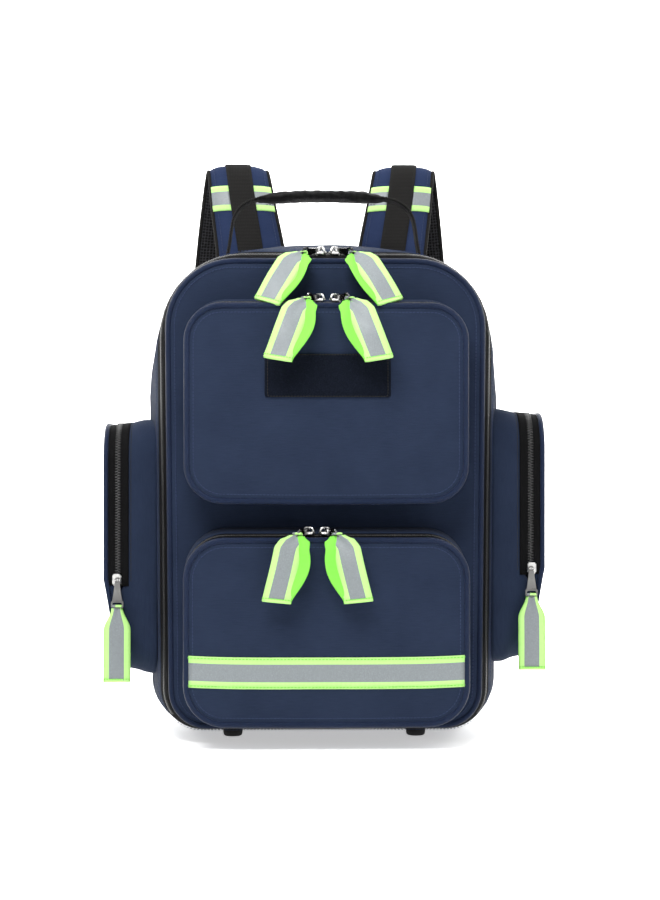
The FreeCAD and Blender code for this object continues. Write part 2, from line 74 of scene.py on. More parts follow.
def joint_spot(name):
    """A joint's pivot at rest, in millimetres."""
    return Vector(JOINTS[name]["pos_m"]) / MM


def joint_axis(name):
    return Vector(JOINTS[name]["axis"]).normalized()


# ---------------------------------------------------------------- materials

class Finish:
    """One material being built; even values sit on its Principled shader's own sockets."""

    def __init__(self, name, roughness, sheen=0.0, metallic=0.0, specular=0.5):
        self.material = bpy.data.materials.new(name)
        self.material.use_nodes = True
        self.tree = self.material.node_tree
        self.shader = self.tree.nodes["Principled BSDF"]
        even = {"Roughness": roughness, "Metallic": metallic, "Specular IOR Level": specular}
        if sheen:
            even.update({"Sheen Weight": sheen, "Sheen Roughness": 0.45})
        for socket, value in even.items():
            self.shader.inputs[socket].default_value = value

    def put(self, socket, value):
        """Link another node's output to a socket, or set the socket's number."""
        if isinstance(value, bpy.types.NodeSocket):
            self.tree.links.new(value, socket)
        else:
            socket.default_value = value

    def shade(self, socket, value):
        """Feed one of the shader's inputs."""
        self.put(self.shader.inputs[socket], value)

    def add(self, kind, inputs, output=0, **settings):
        """Add a node, fill its inputs by name or number and return one of its outputs."""
        made = self.tree.nodes.new("ShaderNode" + kind)
        for key, value in settings.items():
            setattr(made, key, value)
        for socket, value in inputs.items():
            self.put(made.inputs[socket], value)
        return made.outputs[output]

    def place(self, kind="UV"):
        """Where the surface is: UV in millimetres, or Object in metres."""
        return self.add("TexCoord", {}, kind)

    def pointed(self):
        """Under a half in hollows and over it on edges."""
        return self.add("NewGeometry", {}, "Pointiness")

    def plus(self, first, second):
        return self.add("Math", {0: first, 1: second}, operation="ADD")

    def minus(self, first, second):
        return self.add("Math", {0: first, 1: second}, operation="SUBTRACT")

    def times(self, first, second):
        return self.add("Math", {0: first, 1: second}, operation="MULTIPLY")

    def weighted(self, *parts):
        """Sum of (value, weight) pairs."""
        total = self.times(*parts[0])
        for value, weight in parts[1:]:
            total = self.plus(total, self.times(value, weight))
        return total

    def mix(self, share, first, second):
        """Colour between two, each three numbers or another node's output."""
        ends = [c if isinstance(c, bpy.types.NodeSocket) else (*c, 1) for c in (first, second)]
        return self.add("Mix", {0: share, 6: ends[0], 7: ends[1]}, 2, data_type="RGBA")

    def bands(self, place, pitch, direction):
        """Soft stripes of the given pitch in the place's unit."""
        inputs = {"Vector": place, "Scale": 2 * math.pi / (20 * pitch), "Distortion": 0.0}
        return self.add("TexWave", inputs, "Fac", wave_type="BANDS", bands_direction=direction)

    def speckle(self, place, size, detail=3.0):
        """Noise with features of about the given size."""
        return self.add("TexNoise", {"Vector": place, "Scale": 1.0 / size, "Detail": detail}, "Fac")

    def cells(self, place, scale, randomness=1.0):
        """Distance from the middle of the nearest cell."""
        inputs = {"Vector": place, "Scale": scale, "Randomness": randomness}
        return self.add("TexVoronoi", inputs, "Distance")

    def stretched(self, place, scale):
        return self.add("Mapping", {"Vector": place, "Scale": scale})

    def ramp(self, value, given, wanted=(0.0, 1.0)):
        """Carry a value from one span to another, without going past its ends."""
        inputs = {"Value": value, "From Min": given[0], "From Max": given[1], "To Min": wanted[0],
                  "To Max": wanted[1]}
        return self.add("MapRange", inputs, "Result")

    def bump(self, heights, distance):
        """Bump from a height between 0 and 1; distance is in millimetres."""
        inputs = {"Height": heights, "Strength": 0.8, "Distance": distance * MM}
        self.shade("Normal", self.add("Bump", inputs, "Normal"))


def shifted(colour, factor):
    """A colour made darker or brighter, no channel past full."""
    return [min(1.0, channel * factor) for channel in colour]


def woven_fabric(name, dark, light, thread=0.9, sheen=0.04, roughness=0.62, gloss=0.02):
    """Plain weave over UVs in millimetres, with slubs, soft blotches and paler worn edges."""
    cloth = Finish(name, roughness, sheen, specular=gloss)
    uv = cloth.place()
    weft = cloth.bands(uv, thread, "Y")
    crossing = cloth.times(cloth.bands(uv, thread, "X"), weft)
    weave = cloth.plus(crossing, cloth.times(weft, 0.35))
    slub = cloth.speckle(cloth.stretched(uv, (0.12, 1.6, 1.0)), 1.4)
    worn = cloth.minus(cloth.speckle(cloth.place("Object"), 0.045, 4.0), 0.5)
    grain = cloth.speckle(uv, 0.7, 2.0)
    edge = cloth.ramp(cloth.pointed(), (0.54, 0.75), (0.0, 0.12))
    share = cloth.plus(cloth.weighted((weave, 0.34), (slub, 0.30), (grain, 0.18), (worn, 0.35)), edge)
    cloth.shade("Base Color", cloth.mix(cloth.add("Clamp", {"Value": share}), dark, light))
    cloth.bump(cloth.plus(weave, cloth.times(slub, 0.6)), 0.25)
    return cloth.material


def ribbed_webbing(name, dark, light, pitch=1.5, relief=0.35):
    """Webbing: ribs across the band with a fine chevron."""
    webbing = Finish(name, 0.78, specular=0.1)
    uv = webbing.place()
    fine = webbing.bands(uv, 0.8, "DIAGONAL")
    weave = webbing.times(webbing.bands(uv, pitch, "Y"), webbing.plus(fine, 0.5))
    share = webbing.weighted((weave, 0.5), (webbing.speckle(uv, 0.9), 0.3))
    webbing.shade("Base Color", webbing.mix(share, dark, light))
    webbing.bump(weave, relief)
    return webbing.material


def striped_webbing(name, edge_colour, middle_colour, width, middle_share):
    """Reflective webbing: bright woven edges, a grey stripe of fine glass beads down the middle.

    U runs across the band from 0 to its width in millimetres, and V along it.
    """
    webbing = Finish(name, 0.5, specular=0.2)
    uv = webbing.place()
    across = webbing.add("SeparateXYZ", {0: uv}, "X")
    from_middle = webbing.add("Math", {0: webbing.minus(across, width / 2)}, operation="ABSOLUTE")
    inside = webbing.add("Math", {0: from_middle, 1: width * middle_share / 2}, operation="LESS_THAN")
    ribs = webbing.bands(uv, 1.1, "Y")
    shade = webbing.weighted((ribs, 0.5), (webbing.speckle(uv, 0.5), 0.5))
    edge = webbing.mix(shade, shifted(edge_colour, 0.72), edge_colour)
    beads = webbing.cells(uv, 1.6)
    glint = webbing.mix(beads, shifted(middle_colour, 0.8), shifted(middle_colour, 1.15))
    webbing.shade("Base Color", webbing.mix(inside, edge, glint))
    webbing.shade("Roughness", webbing.ramp(inside, (0.0, 1.0), (0.65, 0.36)))
    webbing.bump(webbing.times(ribs, webbing.minus(1.2, inside)), 0.2)
    return webbing.material


def metal(name, colour, roughness):
    """Polished plated metal with faint scratches and painted shade darkening its hollows."""
    plating = Finish(name, roughness, metallic=1.0)
    streaks = plating.stretched(plating.place("Object"), (300.0, 300.0, 2500.0))
    scratch = plating.speckle(streaks, 1.0, 6.0)
    # Painted shade: the base colour darkens where the surface is hollow.
    hollow_shade = plating.ramp(plating.pointed(), (0.40, 0.50))
    plating.shade("Base Color", plating.mix(hollow_shade, shifted(colour, 0.35), colour))
    worn = (roughness * 0.7, roughness * 1.6)
    plating.shade("Roughness", plating.ramp(scratch, (0.0, 1.0), worn))
    plating.bump(scratch, 0.03)
    return plating.material


def moulded(name, dark, light, roughness):
    """Moulded plastic or rubber with a fine grain."""
    plastic = Finish(name, roughness)
    place = plastic.place("Object")
    grain = plastic.speckle(place, 0.6 * MM, 4.0)
    smudge = plastic.speckle(place, 18 * MM, 2.0)
    share = plastic.times(plastic.plus(grain, smudge), 0.5)
    plastic.shade("Base Color", plastic.mix(share, dark, light))
    plastic.bump(grain, 0.08)
    return plastic.material


def pile_fabric(name, dark, light):
    """Fuzzy loop pile of a hook-and-loop patch."""
    pile = Finish(name, 0.95, 0.02, specular=0.05)
    uv = pile.place()
    fuzz = pile.speckle(uv, 0.45, 5.0)
    share = pile.times(pile.cells(uv, 1.1), fuzz)
    pile.shade("Base Color", pile.mix(share, dark, light))
    pile.bump(pile.plus(share, fuzz), 0.5)
    return pile.material


def mesh_fabric(name, dark, light):
    """Air mesh: rounded holes in a knitted sheet."""
    mesh = Finish(name, 0.9, specular=0.08)
    uv = mesh.place()
    rim = mesh.ramp(mesh.cells(uv, 1.0 / 3.2, 0.15), (0.22, 0.5))
    share = mesh.times(rim, mesh.plus(mesh.speckle(uv, 0.5), 0.3))
    mesh.shade("Base Color", mesh.mix(share, dark, light))
    mesh.bump(rim, 0.9)
    return mesh.material


NAVY = woven_fabric("navy_fabric", (0.009, 0.014, 0.030), (0.031, 0.045, 0.084))
NAVY_BEAD = woven_fabric("navy_piping", (0.004, 0.008, 0.022), (0.018, 0.030, 0.072), thread=0.7,
                         roughness=0.32, gloss=0.08)
STRAP_NAVY = woven_fabric("strap_fabric", (0.010, 0.017, 0.044), (0.033, 0.050, 0.116))
BLACK_TAPE = woven_fabric("zip_tape", (0.003, 0.003, 0.003), (0.012, 0.012, 0.013), thread=0.8, sheen=0.0)
BLACK_WEB = ribbed_webbing("black_webbing", (0.004, 0.004, 0.004), (0.022, 0.021, 0.020))
MESH = mesh_fabric("back_mesh", (0.002, 0.002, 0.002), (0.025, 0.025, 0.028))
PILE = pile_fabric("hook_loop", (0.002, 0.003, 0.006), (0.012, 0.016, 0.028))
LIME = (0.50, 0.88, 0.27)
GREY = (0.20, 0.22, 0.23)
WEB_WIDTH = 25.0
STRIP_WIDTH = 27.5
REFLECTIVE = striped_webbing("reflective_webbing", LIME, GREY, WEB_WIDTH, 0.54)
LIME_BACK = ribbed_webbing("lime_back", (0.18, 0.62, 0.05), (0.24, 0.68, 0.12), 1.1, 0.2)
LIME_HEM = ribbed_webbing("lime_hem", (0.40, 0.78, 0.20), LIME, 1.1, 0.2)
STRIP = striped_webbing("reflective_strip", LIME, GREY, STRIP_WIDTH, 0.56)
STITCH = ribbed_webbing("navy_thread", (0.015, 0.022, 0.055), (0.05, 0.07, 0.14), 0.5, 0.1)
BLACK_STITCH = ribbed_webbing("black_thread", (0.006, 0.006, 0.006), (0.04, 0.04, 0.04), 0.5, 0.1)
NICKEL = metal("nickel_metal", (0.82, 0.81, 0.79), 0.28)
# The front tabs' nickel, made darker: a painted dark reflection of the navy around them.
NICKEL_PAINTED_REFLECTION = metal("nickel_painted_reflection", (0.42, 0.42, 0.43), 0.18)
TEETH = moulded("zip_coil", (0.004, 0.004, 0.004), (0.022, 0.022, 0.022), 0.38)
ACETAL = moulded("black_plastic", (0.006, 0.006, 0.006), (0.022, 0.022, 0.022), 0.42)
RUBBER = moulded("rubber_foot", (0.006, 0.006, 0.006), (0.018, 0.018, 0.018), 0.8)
LINING = woven_fabric("lining", (0.10, 0.11, 0.13), (0.20, 0.22, 0.25), sheen=0.1)

# ---------------------------------------------------------------- mesh helpers

def write_mesh(name, points, faces, corner_uvs, material, smooth=True):
    """Object from points in millimetres; corner_uvs holds one UV pair for each face corner."""
    mesh = bpy.data.meshes.new(name)
    mesh.from_pydata([tuple(Vector(p) * MM) for p in points], [], faces)
    layer = mesh.uv_layers.new(name="UVMap")
    flat = [value for pair in corner_uvs for value in pair]
    layer.data.foreach_set("uv", flat)
    for polygon in mesh.polygons:
        polygon.use_smooth = smooth
    mesh.materials.append(material)
    mesh.update()
    made = bpy.data.objects.new(name, mesh)
    bpy.context.scene.collection.objects.link(made)
    return made


def running_length(points, closed=False):
    """Length along a row of points at each of them."""
    total = [0.0]
    ring = list(points) + ([points[0]] if closed else [])
    for a, b in zip(ring, ring[1:]):
        total.append(total[-1] + (Vector(b) - Vector(a)).length)
    return total


def skin(name, rows, material, closed_u=True, closed_v=False, caps=(False, False), uv=None, smooth=True):
    """Sheet through rows of points. UVs are lengths along and across the rows unless uv(point) gives them."""
    count = len(rows[0])
    points = [p for row in rows for p in row]
    faces = []
    uvs = []
    along = running_length(rows[len(rows) // 2], closed_u)
    across = running_length([row[count // 3] for row in rows], closed_v)
    v_total = len(rows) if closed_v else len(rows) - 1
    u_total = count if closed_u else count - 1
    for i in range(v_total):
        for j in range(u_total):
            corners = ((i, j), (i, j + 1), (i + 1, j + 1), (i + 1, j))
            faces.append([(a % len(rows)) * count + b % count for a, b in corners])
            for a, b in corners:
                if uv:
                    uvs.append(uv(rows[a % len(rows)][b % count]))
                else:
                    uvs.append((along[b], across[a]))
    for wanted, index, reverse in ((caps[0], 0, True), (caps[1], len(rows) - 1, False)):
        if not wanted:
            continue
        middle = sum((Vector(p) for p in rows[index]), Vector()) / count
        points.append(middle)
        centre = len(points) - 1
        for j in range(count):
            pair = [index * count + j, index * count + (j + 1) % count]
            ordered = (pair[::-1] if reverse else pair) + [centre]
            faces.append(ordered)
            for corner in ordered:
                spot = points[corner]
                uvs.append(uv(spot) if uv else (spot[0], spot[2]))
    return write_mesh(name, points, faces, uvs, material, smooth)


def thicken(piece, depth):
    """Give a sheet a back side depth millimetres behind it and close its edges."""
    work = bmesh.new()
    work.from_mesh(piece.data)
    bmesh.ops.recalc_face_normals(work, faces=work.faces)
    bmesh.ops.solidify(work, geom=work.faces[:], thickness=depth * MM)
    bmesh.ops.recalc_face_normals(work, faces=work.faces)
    work.to_mesh(piece.data)
    work.free()
    for polygon in piece.data.polygons:
        polygon.use_smooth = True
    return piece


def turn_out(piece):
    """Make a closed piece's faces look outward."""
    work = bmesh.new()
    work.from_mesh(piece.data)
    bmesh.ops.recalc_face_normals(work, faces=work.faces)
    work.to_mesh(piece.data)
    work.free()
    return piece


def rounded_loop(half_low, half_high, low, high, r_low, r_high, place, arc=10, side=14):
    """Closed row of points round a rounded four-sided outline, from the middle of its low side.

    place(u, v) puts a flat point in space. Every loop has the same count, so loops can be skinned together.
    """
    corners = [Vector((half_low, low)), Vector((half_high, high)), Vector((-half_high, high)),
               Vector((-half_low, low))]
    radii = (r_low, r_high, r_high, r_low)
    turns = []
    for i, (here, radius) in enumerate(zip(corners, radii)):
        to_before = (corners[i - 1] - here).normalized()
        to_after = (corners[(i + 1) % 4] - here).normalized()
        half = to_before.angle(to_after) / 2
        reach = radius / math.tan(half)
        centre = here + (to_before + to_after).normalized() * (radius / math.sin(half))
        start = here + to_before * reach - centre
        sweep = math.pi - 2 * half
        turns.append([centre + Matrix.Rotation(sweep * k / arc, 2) @ start for k in range(arc + 1)])
    middle = Vector((0.0, low))
    ring = [middle.lerp(turns[0][0], k / side) for k in range(side)]
    for i in range(4):
        ring += turns[i]
        if i == 3:
            target, steps = middle, side
        else:
            target, steps = turns[i + 1][0], 2 * side
        ring += [turns[i][-1].lerp(target, k / steps) for k in range(1, steps)]
    return [place(p.x, p.y) for p in ring]


def tube(name, path, radius, material, closed=True, sides=10, caps=False):
    """Round tube along a row of points; radius may be a function of the share along it."""
    count = len(path)
    rows = []
    up = Vector((0.0, 1.0, 0.0))
    for i, point in enumerate(path):
        before = path[i - 1] if closed or i else path[i]
        after = path[(i + 1) % count] if closed or i < count - 1 else path[i]
        forward = (Vector(after) - Vector(before)).normalized()
        if abs(forward.dot(up)) > 0.95:
            up = Vector((1.0, 0.0, 0.0))
        first = forward.cross(up).normalized()
        second = forward.cross(first)
        size = radius(i / max(count - 1, 1)) if callable(radius) else radius
        row = []
        for k in range(sides):
            angle = 2 * math.pi * k / sides
            row.append(Vector(point) + (first * math.cos(angle) + second * math.sin(angle)) * size)
        rows.append(row)
    return turn_out(skin(name, rows, material, closed_v=closed, caps=(caps, caps)))


def even_steps(path, pitch, closed=True):
    """Points every pitch along a row, with the direction of travel at each."""
    ring = [Vector(p) for p in path] + ([Vector(path[0])] if closed else [])
    lengths = running_length(ring)
    count = max(2, round(lengths[-1] / pitch))
    spots = []
    segment = 0
    for k in range(count if closed else count + 1):
        wanted = lengths[-1] * k / count
        while segment < len(ring) - 2 and lengths[segment + 1] < wanted:
            segment += 1
        span = lengths[segment + 1] - lengths[segment]
        share = (wanted - lengths[segment]) / span if span else 0.0
        direction = (ring[segment + 1] - ring[segment]).normalized()
        spots.append((ring[segment].lerp(ring[segment + 1], min(share, 1.0)), direction))
    return spots


def rounded_block(length, width, height, round_off=0.3):
    """Points and faces of a small block with its ends and edges rounded off."""
    points = []
    for x, shrink in ((-0.5, 1 - round_off), (-0.34, 1.0), (0.34, 1.0), (0.5, 1 - round_off)):
        w = width / 2 * shrink
        h = height / 2 * shrink
        cut = 0.45
        for y, z in ((w, h * cut), (w * cut, h), (-w * cut, h), (-w, h * cut),
                     (-w, -h * cut), (-w * cut, -h), (w * cut, -h), (w, -h * cut)):
            points.append(Vector((x * length, y, z)))
    faces = []
    for i in range(3):
        for k in range(8):
            faces.append([i * 8 + k, i * 8 + (k + 1) % 8, (i + 1) * 8 + (k + 1) % 8, (i + 1) * 8 + k])
    faces.append(list(range(8))[::-1])
    faces.append(list(range(24, 32)))
    return points, faces


def scatter(name, spots, block, material, lift=0.0):
    """Copies of a block at (point, direction, outward) spots, joined as one piece."""
    points = []
    faces = []
    uvs = []
    base, base_faces = block
    for point, direction, outward in spots:
        across = outward.cross(direction).normalized()
        up = direction.cross(across)
        first = len(points)
        for p in base:
            points.append(point + direction * p.x + across * p.y + up * (p.z + lift))
        for face in base_faces:
            faces.append([first + index for index in face])
            uvs += [(base[index].x, base[index].y) for index in face]
    return turn_out(write_mesh(name, points, faces, uvs, material))


def stitches(name, path, outward, material=STITCH, pitch=3.4, closed=True, lift=0.1):
    """Row of thread stitches along a path; outward is the surface's normal, or gives it for a direction."""
    spots = []
    for point, direction in even_steps(path, pitch, closed):
        spots.append((point, direction, outward(direction) if callable(outward) else outward))
    block = rounded_block(pitch * 0.72, 0.75, 0.55)
    return scatter(name, spots, block, material, lift)


def ribbon(name, path, width, across, thick, material, wave=None):
    """Flat band along a path; across(share) is the unit direction of its width, width may vary too."""
    lengths = running_length(path)
    count = len(path)
    lanes = 8
    tops = []
    bottoms = []
    for i, point in enumerate(path):
        share = i / max(count - 1, 1)
        side = across(share) if callable(across) else across
        forward = (Vector(path[min(i + 1, count - 1)]) - Vector(path[max(i - 1, 0)])).normalized()
        normal = forward.cross(side).normalized()
        wide = width(share) if callable(width) else width
        top = []
        bottom = []
        for k in range(lanes + 1):
            s = k / lanes - 0.5
            thin = 0.55 if k in (0, lanes) else 1.0
            spot = Vector(point) + side * (s * wide)
            if wave:
                spot += normal * wave(share, s)
            top.append(spot + normal * (thick / 2 * thin))
            bottom.append(spot - normal * (thick / 2 * thin))
        tops.append(top)
        bottoms.append(bottom)
    rows = [top + bottom[::-1] for top, bottom in zip(tops, bottoms)]
    ring = len(rows[0])
    full = width(0.5) if callable(width) else width
    points = [p for row in rows for p in row]
    faces = []
    uvs = []
    positions = [k / lanes * full for k in range(lanes + 1)]
    positions += positions[::-1]
    for i in range(count - 1):
        for j in range(ring):
            corners = ((i, j), (i, (j + 1) % ring), (i + 1, (j + 1) % ring), (i + 1, j))
            faces.append([a * ring + b for a, b in corners])
            uvs += [(positions[b], lengths[a]) for a, b in corners]
    for index, order in ((0, 1), (count - 1, -1)):
        for k in range(lanes):
            near, far = index * ring + k, (index + 1) * ring - 1 - k
            faces.append([near, near + 1, far - 1, far][::order])
            uvs += [(positions[k], lengths[index])] * 4
    return turn_out(write_mesh(name, points, faces, uvs, material))


def smooth_path(points, per_span=8):
    """Points on a smooth curve through given points."""
    ring = [Vector(p) for p in points]
    out = []
    for i in range(len(ring) - 1):
        a = ring[max(i - 1, 0)]
        b = ring[i]
        c = ring[i + 1]
        d = ring[min(i + 2, len(ring) - 1)]
        for k in range(per_span):
            t = k / per_span
            out.append(0.5 * (2 * b + (c - a) * t + (2 * a - 5 * b + 4 * c - d) * t ** 2
                              + (3 * b - a - 3 * c + d) * t ** 3))
    out.append(ring[-1])
    return out


def done(piece, body, nodes=()):
    """Ride a piece on its body and hide the CAD nodes it stands for."""
    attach(piece, body)
    if nodes:
        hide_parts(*nodes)


def folded(piece, parent, child, start, end, slot, nodes=()):
    """Bake a piece's placement into its mesh and hide the CAD nodes it stands for."""
    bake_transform(piece)
    if nodes:
        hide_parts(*nodes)


def eased(share):
    """Smooth step from 0 to 1."""
    share = min(max(share, 0.0), 1.0)
    return share * share * (3 - 2 * share)


def ripple(point, size, amount, seed=0.0):
    """Smooth unevenness of cloth at a point, at most about amount either way."""
    return noise.noise(Vector(point) / size + Vector((seed, seed * 0.7, seed * 1.3))) * amount


def loop_outward(direction):
    """Outward normal of an upright outline, walked anticlockwise seen from the front."""
    return Y_AXIS.cross(direction).normalized()


# ---------------------------------------------------------------- main shell

PIPING_R = 2.8
bead_low, bead_high = node_box("front_piping")
tape_low, tape_high = node_box("main_zip_rear_tape")
wall_low, wall_high = node_box("body_gusset")
back_low, back_high = node_box("back_panel")
LID_Y = bead_low.y + 1.0
LID_FACE_Y = LID_Y - 0.9
LEAN = 4.0
WALL = 4.0
# y, half width, low z, high z, top radius, bottom radius of the shell's outside
SECTIONS = (
    (LID_Y, bead_high.x, bead_low.z, bead_high.z, 60.0, 34.0),
    (wall_low.y, tape_high.x, tape_low.z, tape_high.z, 86.0, 38.0),
    (-16.0, wall_high.x, wall_low.z, wall_high.z, 140.0, 42.0),
    (back_high.y, back_high.x, back_low.z, back_high.z, 135.0, 42.0),
)
CHAIN_Y = -82.8
CHAIN_GAP = 1.3
TOOTH_PITCH = 2.5
SEAM_PITCH = 3.2
CLOTH_THICK = 1.3
TAPE_THICK = 1.1
MAIN_TAPE_THICK = 1.4


def section_at(y):
    """The shell's outline sizes at y."""
    for near, far in zip(SECTIONS, SECTIONS[1:]):
        if y <= far[0]:
            break
    share = (y - near[0]) / (far[0] - near[0])
    return [a + (b - a) * share for a, b in zip(near[1:], far[1:])]


def shell_loop(y, inset=0.0, scale=1.0, laid_y=None):
    """The shell's outline at y, moved in by inset and shrunk about its middle; laid_y moves it elsewhere."""
    half, low, high, r_top, r_bottom = section_at(y)
    half, low, high = half - inset, low + inset, high - inset
    r_top, r_bottom = (r_top - inset) * scale, (r_bottom - inset) * scale
    middle = (low + high) / 2
    low, high = middle + (low - middle) * scale, middle + (high - middle) * scale
    place_y = y if laid_y is None else laid_y
    return rounded_loop((half - LEAN) * scale, half * scale, low, high, r_bottom, r_top,
                        lambda u, v: Vector((u, place_y, v)))


def soften(row, inset_y, seed, amount=0.7):
    """Push a shell row in and out a little, as cloth over foam is."""
    out = []
    middle = Vector((0.0, inset_y, 230.0))
    for point in row:
        away = (point - middle)
        away.y = 0.0
        away.normalize()
        push = ripple(point, 42.0, amount, seed) + ripple(point, 15.0, amount * 0.3, seed)
        out.append(point + away * push)
    return out


def ring_wall(name, stops, thick, material, ease=0.0, seed=1.0, amount=0.7):
    """Closed wall of the shell through the given y stops; ease swells it between its two seams."""
    outer = []
    inner = []
    first, last = stops[0], stops[-1]
    for y in stops:
        share = (y - first) / (last - first)
        swell = ease * math.sin(math.pi * share) ** 0.6 if 0 < share < 1 else 0.0
        outer.append(soften(shell_loop(y, -swell), y, seed, amount * math.sin(math.pi * share) ** 0.5
                            if 0 < share < 1 else 0.0))
        inner.append(shell_loop(y, thick - swell * 0.5))
    return turn_out(skin(name, outer + inner[::-1], material, closed_v=True))


def teeth(name, path, across_sign, normal, lowest):
    """One side's row of coil teeth above a height; normal(direction) is outward."""
    spots = []
    for point, direction in even_steps(path, TOOTH_PITCH):
        spot = point + direction * (TOOTH_PITCH / 2 if across_sign > 0 else 0.0)
        if spot.z > lowest:
            outward = normal(direction)
            across = outward.cross(direction).normalized() * across_sign
            spots.append((spot + across * 0.9, across, outward))
    return scatter(name, spots, rounded_block(3.6, TOOTH_PITCH * 0.62, 2.3), TEETH, 0.15)


def make_shell():
    stops = [wall_low.y + s for s in (0, 2, 6, 14, 26, 40, 54, 70, 86, 102, 118, 130, 137)]
    wall = ring_wall("shell_gusset", stops, WALL, NAVY, 1.6, 1.0, 0.9)
    done(wall, "pack_body", ("body_gusset",))
    stops = [CHAIN_Y + CHAIN_GAP, -78.0, -73.0, wall_low.y + 1.5]
    rear = ring_wall("main_zip_tape_rear", stops, MAIN_TAPE_THICK, BLACK_TAPE)
    done(rear, "pack_body", ("main_zip_rear_tape",))
    seam = shell_loop(wall_low.y + 3.2, -1.1)
    thread = stitches("shell_seam_stitches", seam, loop_outward, pitch=SEAM_PITCH, lift=0.2)
    done(thread, "pack_body")
    seam = shell_loop(-74.0, -0.1)
    row = stitches("main_zip_stitches_rear", seam, loop_outward, BLACK_STITCH, 3.0, lift=0.1)
    done(row, "pack_body")
    bead = tube("rear_piping_bead", shell_loop(back_low.y + 3.0, 0.2), 2.9, NAVY_BEAD)
    done(bead, "pack_body", ("rear_piping",))
    chain = shell_loop(CHAIN_Y)
    rises = section_at(CHAIN_Y + 5)[2] - section_at(CHAIN_Y - 5)[2]
    slope = math.atan2(rises, 10.0)

    def tilted(direction):
        return (loop_outward(direction) * math.cos(slope) + FRONT * math.sin(slope)).normalized()

    for sign, body, side in ((-1, "front_lid", "front"), (1, "pack_body", "rear")):
        row = teeth("main_zip_teeth_" + side, chain, sign, tilted, bead_low.z + 12.0)
        done(row, body)


def flat_uv(point):
    return (point[0], point[2])


def plate(name, loop, profile, material):
    """Flat cushion through (scale, y) steps of an outline; loop(scale, y) gives each row."""
    rows = [loop(scale, y) for scale, y in profile]
    return turn_out(skin(name, rows, material, caps=(True, True), uv=flat_uv))


def make_lid():
    def outline(scale, y):
        row = shell_loop(LID_Y + 2.0, PIPING_R + 0.2, scale, y)
        if y < LID_Y + 2.0 and scale < 0.99:
            row = [p + FRONT * ripple(p, 30.0, 0.5, 4.0) for p in row]
        return row

    rear = LID_Y + 5.0
    front = [(share, LID_FACE_Y) for share in (0.3, 0.6, 0.8, 0.9, 0.94)]
    rim = [(0.97, LID_Y - 0.6), (0.99, LID_Y + 0.6), (1.0, LID_Y + 2.5)]
    back = [(0.995, rear), (0.9, rear), (0.4, rear)]
    panel = plate("lid_panel", outline, front + rim + back, NAVY)
    done(panel, "front_lid", ("front_panel",))
    sheet = [(0.4, rear + 0.2), (0.985, rear + 0.2), (0.985, rear + 1.2), (0.4, rear + 1.2)]
    done(plate("lid_lining", outline, sheet, LINING), "front_lid")
    bead = tube("front_piping_bead", shell_loop(LID_Y + 2.0, PIPING_R), PIPING_R, NAVY_BEAD)
    done(bead, "front_lid", ("front_piping",))
    stops = [LID_Y + 4.0, LID_Y + 7.0, LID_Y + 10.0, CHAIN_Y - CHAIN_GAP]
    tape = ring_wall("main_zip_tape_front", stops, MAIN_TAPE_THICK, BLACK_TAPE)
    done(tape, "front_lid", ("main_zip_front_tape",))
    seam = shell_loop(LID_Y, PIPING_R * 2 + 2.4, 1.0, LID_FACE_Y)
    row = stitches("lid_seam_stitches", seam, FRONT, pitch=SEAM_PITCH, lift=0.05)
    done(row, "front_lid")


# ---------------------------------------------------------------- front pockets

# Face outline: half width, low z, high z, corner radius; then the same where the pocket meets the lid
POCKETS = {
    "upper": {"face": (122.0, 218.5, 388.0, 30.0), "foot": (125.0, 217.0, 396.0, 36.0), "chain_y": -115.0,
              "puff": 2.6, "sag": 1.6, "seed": 7.0},
    "lower": {"face": (122.0, 24.0, 183.0, 33.0), "foot": (125.0, 23.0, 193.0, 38.0), "chain_y": -125.0,
              "puff": 2.8, "sag": 0.8, "seed": 12.0},
}
TAPE_WIDE = 7.5
FOLD_SPAN = 5.0


def pocket_face_y(name):
    return node_box(name + "_pocket")[0].y + 2.0


def pocket_loop(name, y, inset=0.0, scale=1.0):
    """A front pocket's outline at y, with a soft sag in its low side."""
    pocket = POCKETS[name]
    face_y = pocket_face_y(name)
    share = min(max((LID_Y - y) / (LID_Y - face_y), 0.0), 1.0)
    half, low, high, radius = [a + (b - a) * share for a, b in zip(pocket["foot"], pocket["face"])]
    half, low, high, radius = half - inset, low + inset, high - inset, (radius - inset) * scale
    middle = (low + high) / 2
    low, high = middle + (low - middle) * scale, middle + (high - middle) * scale
    half *= scale

    def place(u, v):
        droop = pocket["sag"] * max(0.0, 1 - (u / half) ** 2) * (high - v) / (high - low)
        return Vector((u, y, v - droop * scale))

    return rounded_loop(half, half, low, high, radius, radius, place)


def crown(name, x, z):
    """How far a pocket's face stands out at (x, z)."""
    pocket = POCKETS[name]
    half, low, high = pocket["face"][:3]
    across = abs(x) / half
    upright = abs(z - (low + high) / 2) / ((high - low) / 2)
    reach = min((across ** 5 + upright ** 5) ** 0.2, 1.0)
    rise = pocket["puff"] * (1 - reach ** 3) ** 0.8
    spot = Vector((x, 0.0, z))
    calm = min(1.0, (1 - reach) * 14.0)
    pucker = ripple(spot, 9.0, 0.55, pocket["seed"]) * max(0.0, 1 - abs(reach - 0.93) * 14.0)
    return rise + calm * (ripple(spot, 46.0, 1.0, pocket["seed"]) + ripple(spot, 19.0, 0.35, 3.0)) + pucker


def on_face(name, x, z, face_y):
    """The point at (x, z) on a pocket's crowned face."""
    return Vector((x, face_y - crown(name, x, z), z))


